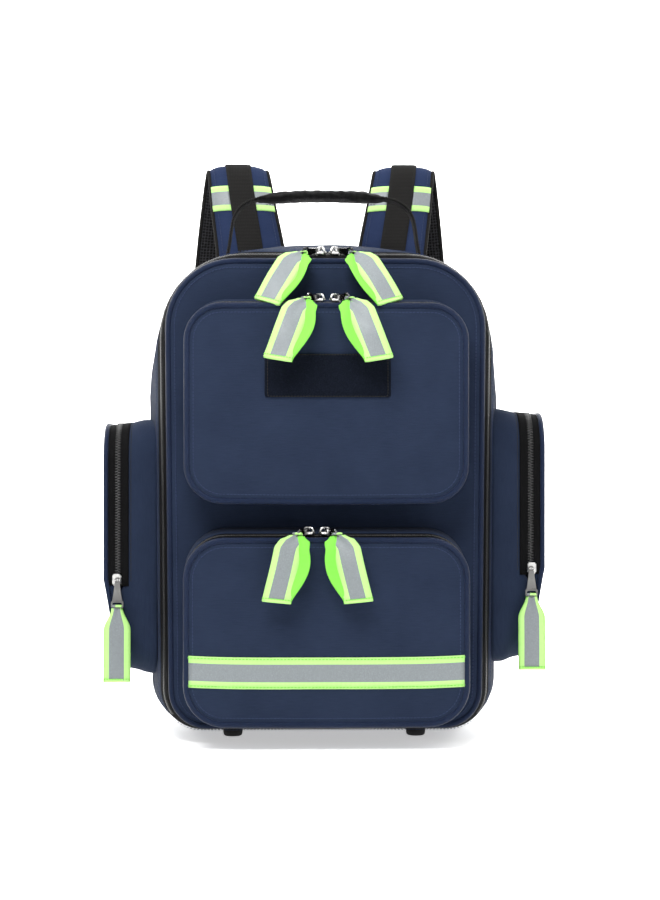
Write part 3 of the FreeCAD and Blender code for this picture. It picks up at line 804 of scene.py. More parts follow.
def make_pocket(name):
    """One front pocket: fixed bag, flap, piping, zip and seams."""
    pocket = POCKETS[name]
    face_y = pocket_face_y(name)
    chain_y = pocket["chain_y"]
    fold = joint_spot(name + "_flap_hinge")
    flap = name + "_flap"
    start = Vector((0.0, 0.0, fold.z - FOLD_SPAN))
    end = Vector((0.0, 0.0, fold.z + FOLD_SPAN))

    def zipped(z):
        """0 below the zip's end, 1 above it."""
        return eased((z - fold.z + 4.0) / 8.0)

    def lofted(stations):
        """Rows whose y differs between the sewn part and the zipped part of the outline."""
        rows = []
        for sewn_y, zipped_y, inset in stations:
            sewn = pocket_loop(name, sewn_y, inset)
            open_row = pocket_loop(name, zipped_y, inset)
            rows.append([a.lerp(b, zipped(b.z)) for a, b in zip(sewn, open_row)])
        return rows

    rear_end = chain_y + CHAIN_GAP + TAPE_WIDE
    span = LID_Y + 1.0 - rear_end
    whole = LID_Y + 1.0 - chain_y
    stations = [(LID_Y + 1.0 - whole * s, LID_Y + 1.0 - span * s, -0.9 * math.sin(math.pi * s)) for s in
                (0.0, 0.2, 0.4, 0.6, 0.8, 1.0)]
    gusset = thicken(skin(name + "_pocket_gusset", lofted(stations), NAVY), CLOTH_THICK)
    done(gusset, "front_lid", (name + "_pocket",))

    front_whole = chain_y - (face_y + 1.4)
    stations = [(chain_y - front_whole * s, face_y + 1.4, -0.9 * math.sin(math.pi * s)) for s in
                (0.0, 0.25, 0.5, 0.75, 1.0)]
    rows = lofted(stations)
    for scale in (0.99, 0.975, 0.95, 0.92, 0.88, 0.83, 0.77, 0.7, 0.62, 0.53, 0.43, 0.32, 0.2, 0.08):
        rim_y = face_y + (0.5 if scale == 0.99 else 0.0)
        row = pocket_loop(name, face_y, 0.0, scale)
        rows.append([on_face(name, p.x, p.z, rim_y) for p in row])
    front = skin(name + "_pocket_front", rows, NAVY, caps=(False, True), uv=flat_uv)
    thicken(front, CLOTH_THICK)
    folded(front, "front_lid", flap, start, end, "navy_fabric", (flap,))
    bead = tube(name + "_pocket_piping", pocket_loop(name, face_y + 0.9), PIPING_R, NAVY_BEAD)
    folded(bead, "front_lid", flap, start, end, "navy_piping")
    seam = [on_face(name, p.x, p.z, face_y) for p in pocket_loop(name, face_y, PIPING_R + 2.8)]
    row = stitches(name + "_pocket_stitches", seam, FRONT, pitch=SEAM_PITCH, lift=0.1)
    folded(row, "front_lid", flap, start, end, "navy_fabric")

    columns = [j for j, p in enumerate(pocket_loop(name, chain_y)) if p.z > fold.z - 1.0]

    def strip(where, y_from, y_to):
        """Zip tape between two depths, along the zipped part of the outline."""
        rows = []
        for k in range(5):
            loop = pocket_loop(name, y_from + (y_to - y_from) * k / 4, 0.15)
            rows.append([loop[j] for j in columns])
        return skin(name + "_zip_tape_" + where, rows, BLACK_TAPE, closed_u=False)

    rear = strip("rear", chain_y + CHAIN_GAP, rear_end + 1.0)
    nodes = ("pocket_zip_tapes",) if name == "upper" else ()
    done(thicken(rear, TAPE_THICK), "front_lid", nodes)
    front = strip("front", chain_y - CHAIN_GAP, face_y + 2.0)
    folded(thicken(front, TAPE_THICK), "front_lid", flap, start, end, "zip_tape")
    chain = pocket_loop(name, chain_y)
    for sign, side in ((-1, "front"), (1, "rear")):
        row = teeth("%s_zip_teeth_%s" % (name, side), chain, sign, loop_outward, fold.z + 1.0)
        if side == "front":
            folded(row, "front_lid", flap, start, end, "zip_tape")
        else:
            done(row, "front_lid")


def make_patch():
    """Loop field on the upper flap with its sewn border."""
    low, high = node_box("loop_patch")
    middle = (low + high) / 2
    half = (high - low) / 2

    def outline(scale, y):
        row = rounded_loop(half.x * scale, half.x * scale, -half.z * scale, half.z * scale, 2.2 * scale,
                           2.2 * scale, lambda u, v: Vector((u, y, v)), 4, 12)
        return [on_face("upper", p.x + middle.x, p.z + middle.z, y) for p in row]

    face_y = pocket_face_y("upper")
    front = [(share, face_y - 1.7) for share in (0.25, 0.5, 0.7, 0.85, 0.95)]
    rim = [(0.985, face_y - 1.5), (1.0, face_y - 0.9)]
    back = [(1.0, face_y + 0.2), (0.9, face_y + 0.2), (0.3, face_y + 0.2)]
    patch = plate("loop_field", outline, front + rim + back, PILE)
    done(patch, "upper_flap", ("loop_patch",))
    seam = outline(0.955, face_y - 1.85)
    done(stitches("loop_field_stitches", seam, FRONT, BLACK_STITCH, 2.6), "upper_flap")


def make_strip():
    """Reflective strip across the lower pocket; its ends rise a little into the side seams."""
    low, high = node_box("reflective_strip")
    face_y = pocket_face_y("lower")
    middle_z = (low.z + high.z) / 2
    reach = high.x + 1.5
    width = high.z - low.z
    lanes = 6
    steps = 48
    outer = []
    for i in range(steps + 1):
        x = -reach + 2 * reach * i / steps
        rise = 1.6 * (abs(x) / reach) ** 4
        row = []
        for k in range(lanes + 1):
            z = middle_z + rise + width * (k / lanes - 0.5)
            row.append(on_face("lower", x, z, face_y - 0.75))
        outer.append(row)
    points = [p for row in outer for p in row]
    faces = []
    uvs = []
    for i in range(steps):
        for k in range(lanes):
            corners = ((i, k), (i + 1, k), (i + 1, k + 1), (i, k + 1))
            faces.append([a * (lanes + 1) + b for a, b in corners])
            uvs += [(b / lanes * width, (outer[a][b].x + reach)) for a, b in corners]
    strip = thicken(write_mesh("pocket_reflective_strip", points, faces, uvs, STRIP), 0.9)
    done(strip, "front_lid", ("reflective_strip",))
    for edge, sign in (("low", -1), ("high", 1)):
        path = [(row[0] if sign < 0 else row[-1]) + Vector((0, -0.1, -sign * 1.6)) for row in outer]
        thread = stitches("strip_stitches_" + edge, path, FRONT, LIME_BACK, 3.0, closed=False)
        done(thread, "front_lid")


# ---------------------------------------------------------------- zip pulls

ZIPS = ("main", "upper", "lower", "side")
SIDES = ("left", "right")
LOOP_LENGTH = 60.0
SIDE_LOOP_LENGTH = 68.0
OVAL_POINTS = 28
# How far a front tab turns about its own length, so that it shows its face
TAB_ROLL = math.radians(55.0)
# Half length of a slider's bar, and how far its crown stands past the tab's hinge
BAR_REACH = 4.6
BAR_RISE = 1.6
# How far each zip's loops hang out from upright, in degrees
LOOP_LEAN = {"main": 40.0, "upper": 25.0, "lower": 14.0, "side": 3.0}


def place_mesh(piece, matrix):
    """Move a piece's points by a matrix whose shift is in millimetres."""
    shift = Matrix.Translation(matrix.to_translation() * MM)
    piece.data.transform(shift @ matrix.to_3x3().to_4x4())
    return piece


def slab(name, outline, thick, material):
    """Small flat metal piece: outline points (u, v) in its own X-Y plane, with softened edges."""
    soft = 0.35
    middle = sum((Vector(p) for p in outline), Vector((0.0, 0.0))) / len(outline)
    rows = []
    for level, inset in ((-0.5, soft), (-0.5 + soft / thick, 0.0), (0.5 - soft / thick, 0.0), (0.5, soft)):
        row = []
        for p in outline:
            away = Vector(p) - middle
            spot = middle + away * (1 - inset / max(away.length, inset * 2))
            row.append(Vector((spot.x, spot.y, level * thick)))
        rows.append(row)
    return turn_out(skin(name, rows, material, caps=(True, True), uv=flat_uv, smooth=False))


def frame_plate(name, outer, inner, thick, material):
    """Flat metal frame between an outer and an inner outline of the same point count."""
    rows = []
    for outline, level in ((outer, -0.5), (outer, 0.5), (inner, 0.5), (inner, -0.5)):
        rows.append([Vector((u, v, level * thick)) for u, v in outline])
    return turn_out(skin(name, rows, material, closed_v=True, smooth=False))


def oval(half_x, half_y, centre_y, power):
    """Outline between an ellipse, at a power of 2, and a rectangle."""
    points = []
    for k in range(OVAL_POINTS):
        angle = 2 * math.pi * k / OVAL_POINTS
        c, s = math.cos(angle), math.sin(angle)
        points.append((half_x * math.copysign(abs(c) ** (2 / power), c),
                       centre_y + half_y * math.copysign(abs(s) ** (2 / power), s)))
    return points


def joined(name, pieces):
    """One object from several, keeping each one's material."""
    work = bmesh.new()
    made = bpy.data.meshes.new(name)
    slots = []
    for piece in pieces:
        first = len(work.faces)
        work.from_mesh(piece.data)
        material = piece.data.materials[0]
        if material not in slots:
            slots.append(material)
        work.faces.ensure_lookup_table()
        for face in work.faces[first:]:
            face.material_index = slots.index(material)
        bpy.data.objects.remove(piece)
    work.to_mesh(made)
    work.free()
    for material in slots:
        made.materials.append(material)
    joined_piece = bpy.data.objects.new(name, made)
    bpy.context.scene.collection.objects.link(joined_piece)
    return joined_piece


def make_slider(tag, label, along, outward):
    """Zip slider: two shaped plates, a neck between them and the arched bar that holds the tab."""
    low, high = node_box(label)
    across = outward.cross(along).normalized()
    centre = (low + high) / 2
    eye = joint_spot(label.replace("slider", "tab") + "_hinge")
    reach = abs((high - low).dot(Vector([abs(c) for c in along])))
    wide = 7.6
    top_level = (eye - centre).dot(outward) - 2.6
    parts = []
    outline = [(-reach / 2, 2.3), (-reach * 0.2, wide / 2), (reach * 0.25, wide / 2), (reach / 2, 2.9),
               (reach / 2, -2.9), (reach * 0.25, -wide / 2), (-reach * 0.2, -wide / 2), (-reach / 2, -2.3)]
    for level in (top_level, top_level - 4.8):
        plate_piece = slab(tag + "_plate", outline, 1.3, NICKEL)
        parts.append(place_mesh(plate_piece, Matrix.Translation((0, 0, level))))
    for sign in (-1, 1):
        rail = rounded_block(reach * 0.72, 0.8, 2.2)
        parts.append(scatter(tag + "_rail", [(Vector((0.4, sign * (wide / 2 - 0.1), top_level - 0.9)),
                                              X_AXIS, UP)], rail, NICKEL))
    neck = rounded_block(2.2, 1.5, 4.6)
    parts.append(scatter(tag + "_neck", [(Vector((reach * 0.3, 0.0, top_level - 2.4)), X_AXIS,
                                          UP)], neck, NICKEL))
    turn = Matrix((along, across, outward)).transposed().to_4x4()
    body = joined(tag, parts)
    spot = Vector(centre)
    place_mesh(body, Matrix.Translation(spot) @ turn)
    axis = joint_axis(label.replace("slider", "tab") + "_hinge")
    base = top_level - (eye - centre).dot(outward)
    large = not label.startswith("side")
    reach, crown, thick = (BAR_REACH, BAR_RISE, 1.1) if large else (3.0, 0.0, 0.85)
    arch = []
    for share in range(13):
        angle = math.pi * share / 12
        rise = (crown - base) * min(1.0, 1.3 * math.sin(angle))
        arch.append(eye + axis * (reach * math.cos(angle)) + outward * (base + rise))
    bar = tube(tag + "_bar", arch, thick, NICKEL, closed=False, sides=8, caps=True)
    return joined(tag, [body, bar])


def make_tab(tag, label, finish):
    """Metal tab from the slider's bar to the loop: an eye, a tapered plate and a slot at its wide end."""
    start = joint_spot(label + "_hinge")
    end = joint_spot(label.replace("tab", "loop") + "_hinge")
    down = (end - start).normalized()
    axis = joint_axis(label + "_hinge")
    normal = down.cross(axis).normalized()
    length = (end - start).length
    eye = frame_plate(tag + "_eye", oval(2.4, 2.3, 0.0, 2.2), oval(1.35, 1.3, 0.0, 2.0), 1.2, finish)
    wide = 5.6
    body = slab(tag + "_plate", [(-2.3, 1.9), (-3.3, length * 0.4), (-4.6, length * 0.8), (4.6, length * 0.8),
                                 (3.3, length * 0.4), (2.3, 1.9)], 1.4, finish)
    bar_y = length * 0.86
    outer = oval(wide, length * 0.11 + 0.9, bar_y + 1.2, 5.0)
    inner = oval(wide - 1.4, length * 0.11 - 1.0, bar_y + 1.2, 4.0)
    slot = frame_plate(tag + "_slot", outer, inner, 1.4, finish)
    whole = joined(tag, [eye, body, slot])
    if label.startswith("side"):
        roll = 0.0
    else:
        roll = TAB_ROLL if normal.cross(axis).dot(down) * axis.y * normal.z > 0 else -TAB_ROLL
    spin = Matrix.Rotation(roll, 3, down)
    turn = Matrix((spin @ axis, down, spin @ normal)).transposed().to_4x4()
    return place_mesh(whole, Matrix.Translation(start) @ turn)


def make_loop(tag, label, side, seed):
    """Folded webbing: a striped front leaf and a plain lime back leaf that bellies out, hemmed below."""
    start = joint_spot(label + "_hinge")
    axis = joint_axis(label + "_hinge")
    hang = label.startswith("side")
    length = SIDE_LOOP_LENGTH if hang else LOOP_LENGTH
    ahead = Vector((-axis.y, axis.x, 0.0)).normalized()
    if ahead.y > 0:
        ahead = -ahead
    lean = math.radians(LOOP_LEAN[label.split("_")[0]])
    down = ahead * math.sin(lean) - Vector((0.0, 0.0, math.cos(lean)))
    normal = down.cross(axis).normalized()
    if normal.y > 0:
        normal = -normal
    inward = -1.0 if axis.x * side > 0 else 1.0
    out_reach = 1.0 if label.startswith("main") else 7.0
    steps = 26
    pieces = []
    for leaf, material in (("front", REFLECTIVE), ("back", LIME_BACK)):
        sign = 1.0 if leaf == "front" else -1.0
        path = []
        turns = []
        for i in range(steps + 1):
            t = i / steps
            belly = math.sin(math.pi * min(1.0, t * 1.05)) ** 1.2
            stand = sign * (1.2 + (3.0 if not hang else 1.4) * belly) * min(1.0, t * 6)
            sway = inward * 2.0 * belly if not hang else 0.0
            if leaf == "back" and not hang:
                sway += inward * 9.0 * belly
            hung = Vector() if hang else X_AXIS * (side * (5.0 * min(1.0, t * 5) + out_reach * t))
            path.append(start + down * (1.0 + t * (length - 1.5)) + normal * stand * 0.9 + axis * sway + hung)
            turned = (0.66 - 0.22 * t) if leaf == "front" else (0.30 - 0.45 * belly + 0.1 * t)
            twist = -inward * turned * (1.0 if not hang else 0.1)
            turns.append((axis * math.cos(twist) + normal * math.sin(twist)).normalized())

        def width_line(share, turns=turns):
            return turns[round(share * steps)]

        def wide(share):
            narrow = 10.0 if hang else 12.5
            return narrow + (WEB_WIDTH - 0.6 - narrow) * eased(share / (0.30 if hang else 0.09))

        def wave(share, s, sign=sign):
            gather = max(0.0, 1 - share / 0.35)
            curl = 1.1 * (2 * s) ** 2 * math.sin(math.pi * share)
            return gather * 0.9 * math.cos(s * 14.0) + sign * curl + 0.35 * math.sin(share * 9 + seed + s * 3)

        pieces.append(ribbon(tag + "_" + leaf, path, wide, width_line, 1.1, material, wave=wave))
    tip = start + down * (length - 3.0)
    if not hang:
        tip += Vector((side * (5.0 + out_reach), 0.0, 0.0))
    hem = [tip + down * (0.9 * k) for k in range(4)]
    pieces.append(ribbon(tag + "_hem", hem, WEB_WIDTH - 0.4, turns[-1], 3.5, LIME_HEM))
    root = [start + normal * (1.7 * math.cos(a)) - down * (1.7 * math.sin(a) - 0.3) for a in
            [math.pi * k / 10 for k in range(11)]]
    pieces.append(ribbon(tag + "_fold", root, 8.6, axis, 1.0, REFLECTIVE))
    thread = [tip + turns[-1] * (x * 1.0) + normal * 1.9 for x in range(-11, 12)]
    pieces.append(stitches(tag + "_thread", thread, normal, LIME_BACK, 2.4, closed=False))
    return joined(tag, pieces)


def make_pulls():
    for zip_name in ZIPS:
        for number, side in enumerate(SIDES):
            slider = "%s_slider_%s" % (zip_name, side)
            tab = "%s_tab_%s" % (zip_name, side)
            loop = "%s_loop_%s" % (zip_name, side)
            sign = -1 if side == "left" else 1
            if zip_name == "side":
                along, outward = UP, FRONT
            else:
                along, outward = X_AXIS * sign, UP
            made = make_slider(slider + "_metal", slider, along, outward)
            done(made, slider, (slider,))
            # Front tabs take the nickel made darker by a painted dark reflection.
            made = make_tab(tab + "_metal", tab, NICKEL if zip_name == "side" else NICKEL_PAINTED_REFLECTION)
            done(made, tab, (tab,))
            made = make_loop(loop + "_webbing", loop, sign, 1.7 * number + len(zip_name))
            done(made, loop, (loop,))


# ---------------------------------------------------------------- shoulder straps and handle

STRAP_THICK = 12.0
WEB_THICK = 2.0
# x, y, z and width along the middle of the right strap's padding
STRAP_STATIONS = ((68, 84, 441, 67), (71, 88, 465, 66), (77, 96, 502, 63), (81, 104, 530, 60.5),
                  (83, 112, 540, 59.5), (85, 123, 536, 59.5), (89, 136, 510, 60), (94, 154, 465, 62),
                  (98, 160, 415, 63), (100, 158, 350, 62), (101, 145, 280, 58), (102, 126, 222, 50))
ADJUSTER = ((102.5, 121.5, 205), (106, 112, 170), (114, 100, 128), (124, 89, 84), (126, 86.5, 74),
            (129, 80, 61), (130, 76.5, 52), (130, 75.5, 46))


def strap_outward(direction):
    """Outward normal of a strap that runs in an upright plane."""
    return -X_AXIS.cross(direction).normalized()


def two_faced(piece, material, test):
    """Give the faces whose normal passes test a second material."""
    piece.data.materials.append(material)
    for polygon in piece.data.polygons:
        if test(polygon):
            polygon.material_index = 1


def strap_frame(side):
    """Smooth middle line of a strap with its width and outward direction at each point."""
    spots = smooth_path([(x * side, y, z) for x, y, z, width in STRAP_STATIONS], 7)
    widths = smooth_path([(width, 0, 0) for x, y, z, width in STRAP_STATIONS], 7)
    out = []
    for i, spot in enumerate(spots):
        before = spots[max(i - 1, 0)]
        after = spots[min(i + 1, len(spots) - 1)]
        along = Vector((0.0, after.y - before.y, after.z - before.z)).normalized()
        out.append((spot, widths[i].x, Vector((0.0, -along.z, along.y))))
    return out


def make_strap(name, side):
    body = "strap_" + name
    line = strap_frame(side)
    lanes = 14
    rows = []
    edges = ([], [])
    seams = ([], [])
    for i, (spot, width, outward) in enumerate(line):
        end = min(i, len(line) - 1 - i) / 3.0
        full = min(1.0, 0.45 + 0.55 * end)
        outer = []
        inner = []
        for k in range(lanes + 1):
            s = 2 * k / lanes - 1
            reach = abs(s)
            puff = (1 - reach ** 3.2) ** 0.75
            channel = 0.9 * math.exp(-((reach - 0.82) / 0.07) ** 2)
            swell = 0.4 + (STRAP_THICK / 2 - 0.6) * full * puff - channel
            ridge = ripple(spot + X_AXIS * (s * 30), 16.0, 0.7, 21.0 + side) * puff
            outer.append(spot + X_AXIS * (s * width / 2) + outward * (swell + ridge))
            inner.append(spot + X_AXIS * (s * width / 2) - outward * (swell * 0.95 + ridge * 0.6))
        rows.append(outer + inner[-2:0:-1])
        for edge, seam, sign in zip(edges, seams, (-1, 1)):
            edge.append(spot + X_AXIS * (sign * (width / 2 - 0.6)))
            high = outward * (STRAP_THICK / 2 * full * 0.62)
            seam.append(spot + X_AXIS * (sign * (width / 2 * 0.82)) + high)
    pad = turn_out(skin("strap_pad_" + name, rows, STRAP_NAVY, caps=(True, True)))
    outs = [(spot, outward) for spot, width, outward in line]

    def faces_in(polygon):
        centre = polygon.center / MM
        spot, outward = min(outs, key=lambda pair: (pair[0].yz - centre.yz).length)
        return (centre - spot).dot(outward) < 0.0

    two_faced(pad, MESH, faces_in)
    done(pad, body, ("shoulder_pad_" + name,))
    for edge, seam, tag in zip(edges, seams, ("in", "out")):
        bead = tube("strap_binding_%s_%s" % (tag, name), edge, 1.9, BLACK_WEB, False, 8, caps=True)
        done(bead, body)
        thread = stitches("strap_stitches_%s_%s" % (tag, name), seam, strap_outward, pitch=SEAM_PITCH,
                          closed=False, lift=0.3)
        done(thread, body)
    lift = STRAP_THICK / 2 + WEB_THICK / 2 - 0.3
    last = next(i for i, (spot, width, outward) in enumerate(line) if spot.y > 113)
    path = []
    for i, (spot, width, outward) in enumerate(line[:last + 4]):
        path.append(spot + outward * (lift * min(1.0, 0.75 + 0.1 * min(i, last + 3 - i))))
    web = ribbon("strap_web_" + name, path, WEB_WIDTH, X_AXIS, WEB_THICK, BLACK_WEB)
    done(web, body, ("strap_webbing_" + name,))
    for sign in (-1, 1):
        row = [p + X_AXIS * (sign * 10.8) for p in path]
        thread = stitches("strap_web_stitches_%s_%d" % (name, sign + 1), row, strap_outward,
                          BLACK_STITCH, 3.0, closed=False, lift=WEB_THICK / 2)
        done(thread, body)
    low, high = node_box("strap_reflective_" + name)
    near = [item for item in line if low.z - 1 <= item[0].z <= high.z + 1 and item[0].y < 110]
    for sign in (-1, 1):
        points = []
        faces = []
        uvs = []
        cols = 8
        steps = 10
        for i in range(steps + 1):
            z = low.z + (high.z - low.z) * i / steps
            spot, width, outward = min(near, key=lambda item: abs(item[0].z - z))
            after = [item for item in line if item[0].z > z and item[0].y < 112][0]
            before = [item for item in line if item[0].z <= z and item[0].y < 112][-1]
            share = (z - before[0].z) / (after[0].z - before[0].z)
            spot = before[0].lerp(after[0], share)
            for k in range(cols + 1):
                s = sign * (0.38 + 0.63 * k / cols)
                puff = max(0.0, 1 - abs(s) ** 3.2) ** 0.75
                rise = 0.4 + (STRAP_THICK / 2 - 0.6) * puff + 0.55
                points.append(spot + X_AXIS * (s * width / 2) + outward * rise)
        for i in range(steps):
            for k in range(cols):
                corners = ((i, k), (i, k + 1), (i + 1, k + 1), (i + 1, k))
                faces.append([a * (cols + 1) + b for a, b in corners])
                uvs += [(a / steps * (high.z - low.z), b * 2.0) for a, b in corners]
        band = thicken(write_mesh("strap_band_%s_%d" % (name, sign + 1), points, faces, uvs, REFLECTIVE), 0.6)
        done(band, body, ("strap_reflective_" + name,) if sign > 0 else ())
    make_lock(name, side, body)
    make_adjuster(name, side, body)


def make_lock(name, side, body):
    """Ladder lock: a moulded frame with three bars and the short webbing that sews it to the strap."""
    low, high = node_box("ladder_lock_" + name)
    middle = (low + high) / 2
    x = middle.x
    parts = []
    y = low.y + 5.0
    tall = 24.0
    top = high.z - 2.0
    for z, thick in ((top - 1.5, 3.6), (top - 10.5, 3.2), (top - tall + 2.4, 4.4)):
        bar = rounded_block(36.0, 5.0, thick, 0.12)
        parts.append(scatter("lock_bar", [(Vector((x, y, z)), X_AXIS, UP)], bar, ACETAL))
    for sign in (-1, 1):
        rail = rounded_block(tall, 5.6, 4.2, 0.2)
        spot = Vector((x + sign * 16.8, y, top - tall / 2))
        parts.append(scatter("lock_rail", [(spot, UP, X_AXIS)], rail, ACETAL))
    lock = joined("ladder_lock_body_" + name, parts)
    done(lock, body, ("ladder_lock_" + name,))
    spot = Vector((102.0 * side, 126.0, 222.0))
    path = [spot + Vector((0, 3.4, 12)), spot + Vector((0, 2.6, 4)), Vector((x, y + 3.2, top + 2)),
            Vector((x, y + 3.0, top - 2)), Vector((x, y, top - 4.2)), Vector((x, y - 3.0, top - 2)),
            Vector((x, y - 3.2, top + 2)), spot + Vector((0, -7.6, 2)), spot + Vector((0, -7.0, 10))]
    web = ribbon("lock_web_" + name, smooth_path(path, 4), WEB_WIDTH, X_AXIS, 1.6, BLACK_WEB)
    done(web, body)


def make_adjuster(name, side, body):
    """Adjuster webbing from the ladder lock to its sewn tab low on the back."""
    path = smooth_path([(x * side, y, z) for x, y, z in ADJUSTER], 7)
    web = ribbon("adjuster_web_" + name, path, WEB_WIDTH, X_AXIS, WEB_THICK, BLACK_WEB,
                 wave=lambda share, s: 1.2 * math.sin(share * 7) * math.sin(math.pi * share))
    start = Vector((124.0 * side, 89.0, 66.0))
    end = Vector((124.0 * side, 95.0, 100.0))
    folded(web, "pack_body", body, start, end, "black_webbing", ("adjuster_webbing_" + name,))
    tail = [(102.5 * side, 117.0, 207.0), (103.0 * side, 108.0, 196.0), (106.0 * side, 103.0, 172.0),
            (109.0 * side, 99.0, 150.0), (110.0 * side, 99.0, 136.0)]
    end_piece = ribbon("adjuster_tail_" + name, smooth_path(tail, 6), WEB_WIDTH - 0.4, X_AXIS, 1.6, BLACK_WEB)
    done(end_piece, body)
    box_stitch("adjuster_box_" + name, Vector((130.0 * side, 77.0, 51.0)), X_AXIS, UP, 19.0, 9.0,
               "pack_body")


def box_stitch(tag, centre, across, up, width, height, body):
    """Box of stitches with a cross inside."""
    corners = [centre + across * (sx * width / 2) + up * (sz * height / 2) for sx, sz in
               ((-1, -1), (1, -1), (1, 1), (-1, 1))]
    normal = up.cross(across).normalized()
    if normal.y < 0 and centre.y > 0 or normal.z < 0 and abs(normal.z) > 0.5:
        normal = -normal
    runs = [corners + corners[:1], [corners[0], corners[2]], [corners[1], corners[3]]]
    for k, run in enumerate(runs):
        row = stitches("%s_%d" % (tag, k), run, normal, BLACK_STITCH, 2.6, closed=False, lift=0.4)
        done(row, body)


HANDLE_TOP = 501.0
# x and z along one half of the handle, from its sewn end up
HANDLE_HALF = ((118, 417.0), (108, 425.4), (98, 432.8), (92, 440.0), (89.4, 449.0), (87.6, 460.0),
               (86.2, 470.0), (83.6, 481.0), (76.5, 491.0), (62, 497.6), (32, 500.2))
HANDLE_FOLD = (Vector((0.0, 0.0, 459.0)), Vector((0.0, 0.0, 483.0)))
GRIP_ENDS = (-62.0, 57.0)
GRIP_CLOTH = woven_fabric("grip_cloth", (0.004, 0.004, 0.004), (0.022, 0.022, 0.022), 0.8, roughness=0.5)


def grip_z(x):
    """Height of the grip's middle line."""
    return HANDLE_TOP - 3.4 * (abs(x) / 62.0) ** 2.4


def handle_outward(direction):
    """Outward normal of the handle's webbing, walked from left to right."""
    return Vector((-direction.z, 0.0, direction.x)).normalized()


def make_handle():
    """Carry handle: webbing from one sewn end to the other, folded over itself in a ruched grip."""
    left = [(-x, 0.0, z) for x, z in HANDLE_HALF]
    right = [(x, 0.0, z) for x, z in reversed(HANDLE_HALF)]
    line = smooth_path(left + [(0.0, 0.0, HANDLE_TOP)] + right, 6)
    web = ribbon("handle_web", line, WEB_WIDTH, Y_AXIS, 2.2, BLACK_WEB)
    folded(web, "pack_body", "handle", *HANDLE_FOLD, "black_webbing", ("handle_webbing",))
    for sign in (-1, 1):
        row = [p + Y_AXIS * (sign * 10.6) for p in line]
        thread = stitches("handle_thread_%d" % (sign + 1), row, handle_outward, BLACK_STITCH, 2.8,
                          closed=False, lift=1.1)
        folded(thread, "pack_body", "handle", *HANDLE_FOLD, "black_webbing")
    low_x, high_x = GRIP_ENDS
    rows = []
    steps = 90
    around = 28
    for i in range(steps + 1):
        share = i / steps
        x = low_x + (high_x - low_x) * share
        ends = min(1.0, min(share, 1 - share) / 0.16) ** 0.6
        gather = math.sin(share * 2 * math.pi * 11 + 0.8 * math.sin(share * 19))
        row = []
        for k in range(around):
            angle = 2 * math.pi * k / around
            c, s = math.cos(angle), math.sin(angle)
            wide = 12.6 + 2.9 * ends
            tall = 1.6 + 3.9 * ends
            pleat = 1 + 0.075 * gather * (0.35 + 0.65 * abs(c))
            pleat += ripple(Vector((x, 20 * c, 20 * s)), 9.0, 0.12, 5.0)
            row.append(Vector((x, c * wide * pleat * (0.86 + 0.14 * abs(c)), grip_z(x) + s * tall * pleat)))
        rows.append(row)
    grip = turn_out(skin("handle_grip_sleeve", rows, GRIP_CLOTH, caps=(True, True)))
    done(grip, "handle", ("handle_grip",))
    spots = [low_x + (high_x - low_x) * k / 40 for k in range(3, 38)]
    seam = [Vector((x, 0.0, grip_z(x) - 5.4)) for x in spots]
    thread = stitches("handle_grip_seam", seam, -UP, BLACK_STITCH, 3.0, closed=False, lift=0.3)
    done(thread, "handle")
    for sign in (-1, 1):
        up = Vector((-sign * 0.77, 0.0, 0.64))
        middle = Vector((sign * 108.5, 0.0, 426.4))
        box_stitch("handle_box_%d" % (sign + 1), middle, Y_AXIS, up, 19.0, 15.0, "pack_body")


# ---------------------------------------------------------------- side pockets

SIDE_HALF_DEPTH = 60.0
SIDE_OUTER_X = 200.0
SIDE_LOW = 62.0
SIDE_HIGH = 284.0
SIDE_RADIUS = 32.0
SIDE_HINGE_Z = 138.0
SIDE_CHAIN_X = 188.0
SIDE_LIFT = 10.0
SIDE_DRAFT = 6.0
# How far the pocket tapers in below its hinge line, over a height
SIDE_TAPER = 15.0
SIDE_TAPER_HEIGHT = 88.0
SIDE_ROOT_X = 152.0


def side_outline(x, inset=0.0, scale=1.0):
    """A side pocket's outline at x from the middle, drawn on the right at the left pocket's height."""
    share = (SIDE_OUTER_X - x) / 50.0
    low = SIDE_LOW - SIDE_DRAFT * share + inset
    high = SIDE_HIGH + SIDE_DRAFT * share - inset
    half = SIDE_HALF_DEPTH - inset
    middle = (low + high) / 2
    low, high = middle + (low - middle) * scale, middle + (high - middle) * scale

    def place(u, v):
        return Vector((x, u, v))

    return rounded_loop(half * scale, half * scale, low, high, (SIDE_RADIUS - inset) * scale,
                        (SIDE_RADIUS - inset) * scale, place)


def tapered(point):
    """Pull a side pocket's point in below the hinge line."""
    below = max(0.0, SIDE_HINGE_Z + 6.0 - point.z)
    cut = SIDE_TAPER * (below / SIDE_TAPER_HEIGHT) ** 0.9
    wanted = point.x - cut * max(0.0, (point.x - 165.0) / 35.0)
    return Vector((min(point.x, wanted), point.y, point.z))


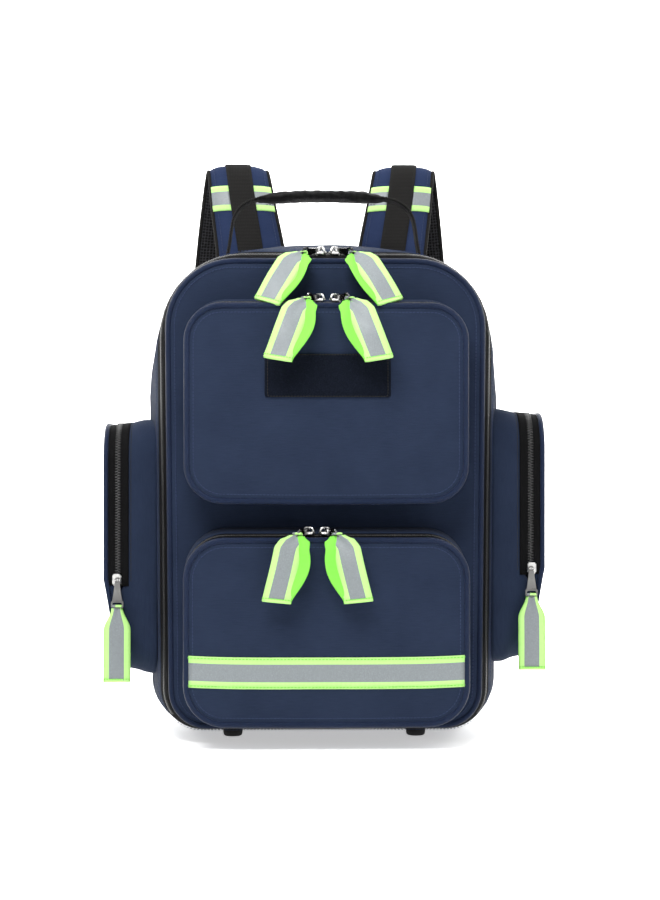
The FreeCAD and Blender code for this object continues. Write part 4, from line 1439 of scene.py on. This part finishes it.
def make_side_pocket(name, side):
    lift = SIDE_LIFT if side > 0 else 0.0
    lid = "side_lid_" + name
    fold_z = SIDE_HINGE_Z + lift
    start = Vector((0.0, 0.0, fold_z - FOLD_SPAN))
    end = Vector((0.0, 0.0, fold_z + FOLD_SPAN))

    def put(row):
        return [Vector((p.x * side, p.y, p.z + lift)) for p in row]

    def rest(x):
        row = [tapered(p) for p in side_outline(x)]
        bulge = 1.6 * math.sin(math.pi * min(1.0, max(0.0, (x - 150.0) / 29.0)))
        out = []
        for p in row:
            away = Vector((0.0, p.y, p.z - 170.0)).normalized()
            push = bulge + ripple(Vector((x, p.y, p.z)), 20.0, 1.8, 31.0 + side) * bulge / 1.6
            out.append(p + away * push)
        return out

    def zipped(z):
        """0 below the zip's end, 1 above it."""
        return eased((z - SIDE_HINGE_Z + 4.0) / 8.0)

    tape_start = SIDE_CHAIN_X - CHAIN_GAP - TAPE_WIDE
    stations = []
    for share in (0.0, 0.12, 0.25, 0.4, 0.55, 0.7, 0.85, 1.0):
        open_row = rest(SIDE_ROOT_X + (tape_start - SIDE_ROOT_X) * share)
        shut_row = rest(SIDE_ROOT_X + (SIDE_CHAIN_X - SIDE_ROOT_X) * share)
        stations.append(put([a.lerp(b, zipped(b.z)) for a, b in zip(shut_row, open_row)]))
    bag = thicken(skin("side_bag_" + name, stations, NAVY), CLOTH_THICK)
    done(bag, "pack_body", ("side_pocket_" + name,))

    rows = []
    for share in (0.0, 0.3, 0.65, 1.0):
        reach = SIDE_OUTER_X - 1.6 - SIDE_CHAIN_X
        shut_row = side_outline(SIDE_CHAIN_X + reach * share)
        open_row = side_outline(SIDE_CHAIN_X + 4.0 + (reach - 4.0) * share)
        rows.append(put([tapered(a.lerp(b, zipped(b.z))) for a, b in zip(shut_row, open_row)]))
    for scale in (0.985, 0.96, 0.93, 0.88, 0.82, 0.74, 0.65, 0.55, 0.44, 0.32, 0.2, 0.08):
        row = []
        for p in side_outline(SIDE_OUTER_X - 1.2, 0.0, scale):
            rim = 1 - (max(abs(p.y) / 60.0, abs(p.z - 173.0) / 111.0)) ** 4
            rise = 2.2 * max(0.0, rim) ** 0.8 + ripple(p, 36.0, 1.3, 40.0 + side) * max(0.0, rim) ** 0.5
            moved = tapered(p)
            row.append(Vector((min(moved.x + rise, SIDE_OUTER_X + 2.6), p.y, p.z)))
        rows.append(put(row))
    panel = skin("side_panel_" + name, rows, NAVY, caps=(False, True), uv=lambda p: (p[1], p[2]))
    thicken(panel, CLOTH_THICK)
    folded(panel, "pack_body", lid, start, end, "navy_fabric", (lid,))
    path = put([tapered(p) for p in side_outline(SIDE_OUTER_X - 1.0, -0.4)])
    folded(tube("side_piping_" + name, path, 2.3, NAVY_BEAD), "pack_body", lid, start, end, "navy_piping")

    columns = [j for j, p in enumerate(side_outline(SIDE_CHAIN_X)) if p.z > SIDE_HINGE_Z - 1.0]

    def strip(where, x_from, x_to, cut):
        """Zip tape between two widths, along the zipped part of the outline."""
        rows = []
        for k in range(5):
            loop = side_outline(x_from + (x_to - x_from) * k / 4, cut)
            rows.append(put([loop[j] for j in columns]))
        return skin("side_tape_%s_%s" % (where, name), rows, BLACK_TAPE, closed_u=False)

    inner = strip("inner", tape_start - 1.0, SIDE_CHAIN_X - CHAIN_GAP, -1.0)
    done(thicken(inner, TAPE_THICK), "pack_body", ("side_zip_tapes",) if side > 0 else ())
    outer = strip("outer", SIDE_CHAIN_X + CHAIN_GAP, SIDE_OUTER_X - 2.0, -0.6)
    folded(thicken(outer, TAPE_THICK), "pack_body", lid, start, end, "zip_tape")
    chain = put(side_outline(SIDE_CHAIN_X, -0.6))

    def out_from(direction):
        return (X_AXIS * side).cross(direction).normalized() * side

    for sign, where in ((1, "outer"), (-1, "inner")):
        row = teeth("side_zip_teeth_%s_%s" % (where, name), chain, sign * side, out_from, fold_z + 2.0)
        if where == "outer":
            folded(row, "pack_body", lid, start, end, "zip_tape")
        else:
            done(row, "pack_body")
    seam = put([tapered(p) + Vector((1.6, 0, 0)) for p in side_outline(SIDE_OUTER_X - 1.0, 6.0)])
    thread = stitches("side_stitches_" + name, seam, X_AXIS * side, pitch=SEAM_PITCH, lift=0.1)
    folded(thread, "pack_body", lid, start, end, "navy_fabric")
    row = put([p for p in rest(tape_start - 3.0) if p.z > SIDE_HINGE_Z])
    thread = stitches("side_tape_stitches_" + name, row, out_from, BLACK_STITCH, 3.0, closed=False, lift=0.1)
    done(thread, "pack_body")


# ---------------------------------------------------------------- back, base and inside

PAD_PRESSURE = 4.0
PAD_VOXEL = 5.0
PAD_FRAMES = 20


def swollen(piece, cap):
    """Blow a pad up with a cloth simulation; no point moves further than cap millimetres."""
    bpy.context.view_layer.objects.active = piece
    piece.select_set(True)
    remesh = piece.modifiers.new("remesh", "REMESH")
    remesh.mode = "VOXEL"
    remesh.voxel_size = PAD_VOXEL * MM
    bpy.ops.object.modifier_apply(modifier=remesh.name)
    start = [v.co.copy() for v in piece.data.vertices]
    cloth = piece.modifiers.new("swell", "CLOTH")
    cloth.settings.use_pressure = True
    cloth.settings.uniform_pressure_force = PAD_PRESSURE
    cloth.settings.effector_weights.gravity = 0.0
    cloth.settings.quality = 4
    cloth.point_cache.frame_end = PAD_FRAMES
    scene = bpy.context.scene
    for number in range(1, PAD_FRAMES + 1):
        scene.frame_set(number)
    shaped = piece.evaluated_get(bpy.context.evaluated_depsgraph_get())
    ends = [v.co.copy() for v in shaped.data.vertices]
    piece.modifiers.remove(cloth)
    scene.frame_set(1)
    for vertex, a, b in zip(piece.data.vertices, start, ends):
        move = b - a
        if move.length > cap * MM:
            move *= cap * MM / move.length
        vertex.co = a + move
    smooth = piece.modifiers.new("smooth", "SUBSURF")
    smooth.levels = 1
    bpy.ops.object.modifier_apply(modifier=smooth.name)
    layers = piece.data.uv_layers
    layer = layers[0] if layers else layers.new(name="UVMap")
    for polygon in piece.data.polygons:
        polygon.use_smooth = True
        for index in polygon.loop_indices:
            spot = piece.data.vertices[piece.data.loops[index].vertex_index].co / MM
            layer.data[index].uv = flat_uv(spot)
    piece.select_set(False)


PADS = (("left", -70.0, 44.0, 140.0, 390.0, 22.0), ("right", 70.0, 44.0, 140.0, 390.0, 22.0),
        ("lumbar", 0.0, 112.0, 40.0, 126.0, 24.0))
PAD_THICK = 9.0
# A pad starts this much smaller all round, because the simulation swells it
PAD_SHRINK = 2.0


def make_back():
    rear = back_high.y

    def outline(scale, y):
        return shell_loop(rear - 1.0, PIPING_R, scale, y)

    steps = [(0.4, rear - 0.8), (0.8, rear - 0.8), (0.95, rear - 0.9), (0.99, rear - 1.8), (1.0, rear - 3.0),
             (0.99, rear - 5.6), (0.4, rear - 5.6)]
    panel = plate("back_panel_mesh", outline, steps, MESH)
    done(panel, "pack_body", ("back_panel",))
    for name, x, half, low, high, radius in PADS:
        middle = (low + high) / 2

        def pad_loop(scale, y):
            wide, tall = (half - PAD_SHRINK) * scale, ((high - low) / 2 - PAD_SHRINK) * scale
            corner = (radius - PAD_SHRINK) * scale
            return rounded_loop(wide, wide, -tall, tall, corner, corner,
                                lambda u, v: Vector((x + u, y, middle + v)), 6, 8)

        steps = [(0.3, rear + PAD_THICK - 3.0), (0.7, rear + PAD_THICK - 3.0), (0.93, rear + PAD_THICK - 3.6),
                 (1.0, rear + PAD_THICK - 6.0), (1.0, rear + 0.6), (0.95, rear - 0.4), (0.3, rear - 0.4)]
        pad = plate("back_pad_" + name, pad_loop, steps, MESH)
        swollen(pad, 3.0)
        done(pad, "pack_body", ("back_pads",) if name == "lumbar" else ())
        edge = tube("back_pad_edge_" + name, pad_loop(1.03, rear + 0.9), 1.7, NAVY_BEAD)
        done(edge, "pack_body")
        lanes = 5 if name != "lumbar" else 3
        for k in range(1, lanes):
            z = low + (high - low) * k / lanes
            path = [Vector((x + half * 0.86 * s, rear + PAD_THICK - 0.6, z)) for s in (-1, -0.5, 0, 0.5, 1)]
            thread = stitches("back_pad_seam_%s_%d" % (name, k), path, Y_AXIS, BLACK_STITCH, 3.4,
                              closed=False, lift=0.2)
            done(thread, "pack_body")


def make_base():
    """Base board cover, rubber feet with a raised rim, and the padded dividers inside."""
    low, high = node_box("base_panel")
    cover = rounded_block(high.x - low.x - 4.0, high.y - low.y - 4.0, 3.4, 0.03)
    spot = Vector(((low.x + high.x) / 2, (low.y + high.y) / 2, high.z - 1.8))
    done(scatter("base_cover", [(spot, X_AXIS, UP)], cover, LINING), "pack_body",
         ("base_panel",))
    low, high = node_box("rubber_feet")
    count = 0
    for x in (low.x + 9.0, high.x - 9.0):
        for y in (low.y + 9.0, high.y - 9.0):
            rows = []
            for radius, z in ((5.4, 0.0), (7.2, 0.0), (8.4, 0.9), (8.9, 3.0), (9.0, 8.6), (6.0, 8.6)):
                rows.append([Vector((x + radius * math.cos(a), y + radius * math.sin(a), z)) for a in
                             [2 * math.pi * k / 28 for k in range(28)]])
            foot = turn_out(skin("rubber_foot_%d" % count, rows, RUBBER, caps=(True, True)))
            done(foot, "pack_body", ("rubber_feet",) if count == 0 else ())
            count += 1
    low, high = node_box("padded_dividers")
    spots = [("shelf_low", (low.x + 2, high.x - 2), (low.z, low.z + 6.0)),
             ("shelf_high", (low.x + 2, high.x - 2), (high.z - 6.0, high.z)), ("upright", (-3.0, 3.0), None)]
    for name, xs, zs in spots:
        if zs is None:
            zs = (low.z + 6.0, high.z - 6.0)
        size = Vector((xs[1] - xs[0], high.y - low.y, zs[1] - zs[0]))
        centre = Vector(((xs[0] + xs[1]) / 2, (low.y + high.y) / 2, (zs[0] + zs[1]) / 2))
        rows = []
        flat = name == "upright"
        long_size = size.z if flat else size.x
        for k in range(25):
            t = k / 24 - 0.5
            end = (1 - (abs(t) * 2) ** 10) ** 0.5
            row = []
            for j in range(24):
                angle = 2 * math.pi * j / 24
                c, s = math.cos(angle), math.sin(angle)
                y = size.y / 2 * math.copysign(abs(c) ** 0.25, c)
                thin = 3.0 * math.copysign(abs(s) ** 0.6, s) * max(0.25, end)
                thin += 0.0 if abs(s) < 0.1 else ripple(Vector((t * long_size, y, 0)), 30.0, 0.35, 8.0)
                step = t * long_size
                row.append(centre + (Vector((thin, y, step)) if flat else Vector((step, y, thin))))
            rows.append(row)
        pad = turn_out(skin("divider_" + name, rows, LINING, caps=(True, True)))
        done(pad, "pack_body", ("padded_dividers",) if flat else ())


def make_anchors():
    """The strap tops' sewn flap and the fixed webbing ends share one CAD node with the handle's ends."""
    for side in (-1, 1):
        path = [Vector((69.0 * side, 75.4, 400.0)), Vector((69.0 * side, 75.6, 415.0)),
                Vector((68.5 * side, 75.8, 425.0)), Vector((68.0 * side, 76.2, 434.0))]
        flap = ribbon("strap_top_flap_%d" % (side + 1), smooth_path(path, 5), 60.0, X_AXIS, 1.8, NAVY)
        done(flap, "pack_body", ("webbing_anchors",) if side > 0 else ())


make_shell()
make_lid()
make_pocket("upper")
make_pocket("lower")
make_patch()
make_strip()
make_pulls()
for strap_name, strap_side in (("left", -1), ("right", 1)):
    make_strap(strap_name, strap_side)
    make_side_pocket(strap_name, strap_side)
make_handle()
make_back()
make_base()
make_anchors()

# ---------------------------------------------------------------- floor, light and camera

CAMERA_DISTANCE = 1700.0
CAMERA_HEIGHT = 262.0
CAMERA_TURN = math.radians(1.3)
AIM_X = 3.9
STAGE_GLOW = 0.5


def make_stage():
    """Pale floor that curves up into a pale backdrop."""
    rows = []
    for y, z in ((-4200.0, 0.0), (-1400.0, 0.0), (0.0, 0.0), (1400.0, 0.0), (2200.0, 0.0), (2800.0, 120.0),
                 (3200.0, 500.0), (3350.0, 1100.0), (3400.0, 3400.0)):
        rows.append([Vector((x, y, z)) for x in (-4200.0, -1500.0, 0.0, 1500.0, 4200.0)])
    paper = Finish("studio_floor", 0.85)
    tone = paper.mix(paper.speckle(paper.place("Object"), 0.6), (0.93, 0.93, 0.93), (0.96, 0.96, 0.96))
    paper.shade("Base Color", tone)
    paper.shade("Emission Color", tone)
    paper.shade("Emission Strength", STAGE_GLOW)
    floor = skin("studio_floor", rows, paper.material, closed_u=False)
    floor.data.flip_normals()


def area_light(name, spot, target, size, power):
    light = bpy.data.lights.new(name, "AREA")
    light.shape = "RECTANGLE"
    light.size, light.size_y = size
    light.energy = power
    made = bpy.data.objects.new(name, light)
    bpy.context.scene.collection.objects.link(made)
    made.location = Vector(spot) * MM
    made.rotation_euler = (Vector(target) - Vector(spot)).to_track_quat("-Z", "Y").to_euler()


def make_lights():
    world = bpy.data.worlds.new("studio")
    bpy.context.scene.world = world
    world.use_nodes = True
    world.node_tree.nodes["Background"].inputs[0].default_value = (1.0, 1.0, 1.0, 1)
    world.node_tree.nodes["Background"].inputs[1].default_value = 0.32
    bpy.context.scene.view_settings.view_transform = "Standard"
    area_light("key", (-250, -850, 1150), (0, -60, 380), (0.7, 0.5), 17)
    area_light("fill", (1100, -1300, 700), (0, 0, 300), (1.0, 1.0), 5)
    area_light("top", (0, -100, 1500), (0, 0, 300), (1.6, 0.8), 10)
    area_light("backdrop_left", (-1500, 900, 1500), (0, 3000, 700), (1.6, 1.6), 110)
    area_light("backdrop_right", (1500, 900, 1500), (0, 3000, 700), (1.6, 1.6), 110)
    area_light("floor_wash", (0, 1900, 1500), (0, 2000, 0), (2.6, 1.6), 30)


def make_camera():
    camera = bpy.data.cameras.new("camera")
    made = bpy.data.objects.new("camera", camera)
    bpy.context.scene.collection.objects.link(made)
    x = -CAMERA_DISTANCE * math.sin(CAMERA_TURN)
    y = LID_Y - CAMERA_DISTANCE * math.cos(CAMERA_TURN)
    made.location = Vector((x, y, CAMERA_HEIGHT)) * MM
    heading = math.atan2(AIM_X - x, LID_Y - y)
    made.rotation_euler = (math.pi / 2, 0.0, -heading)
    camera.sensor_width = 36.0
    camera.lens = 76.2
    camera.clip_end = 50.0
    bpy.context.scene.camera = made


make_stage()
make_lights()
make_camera()
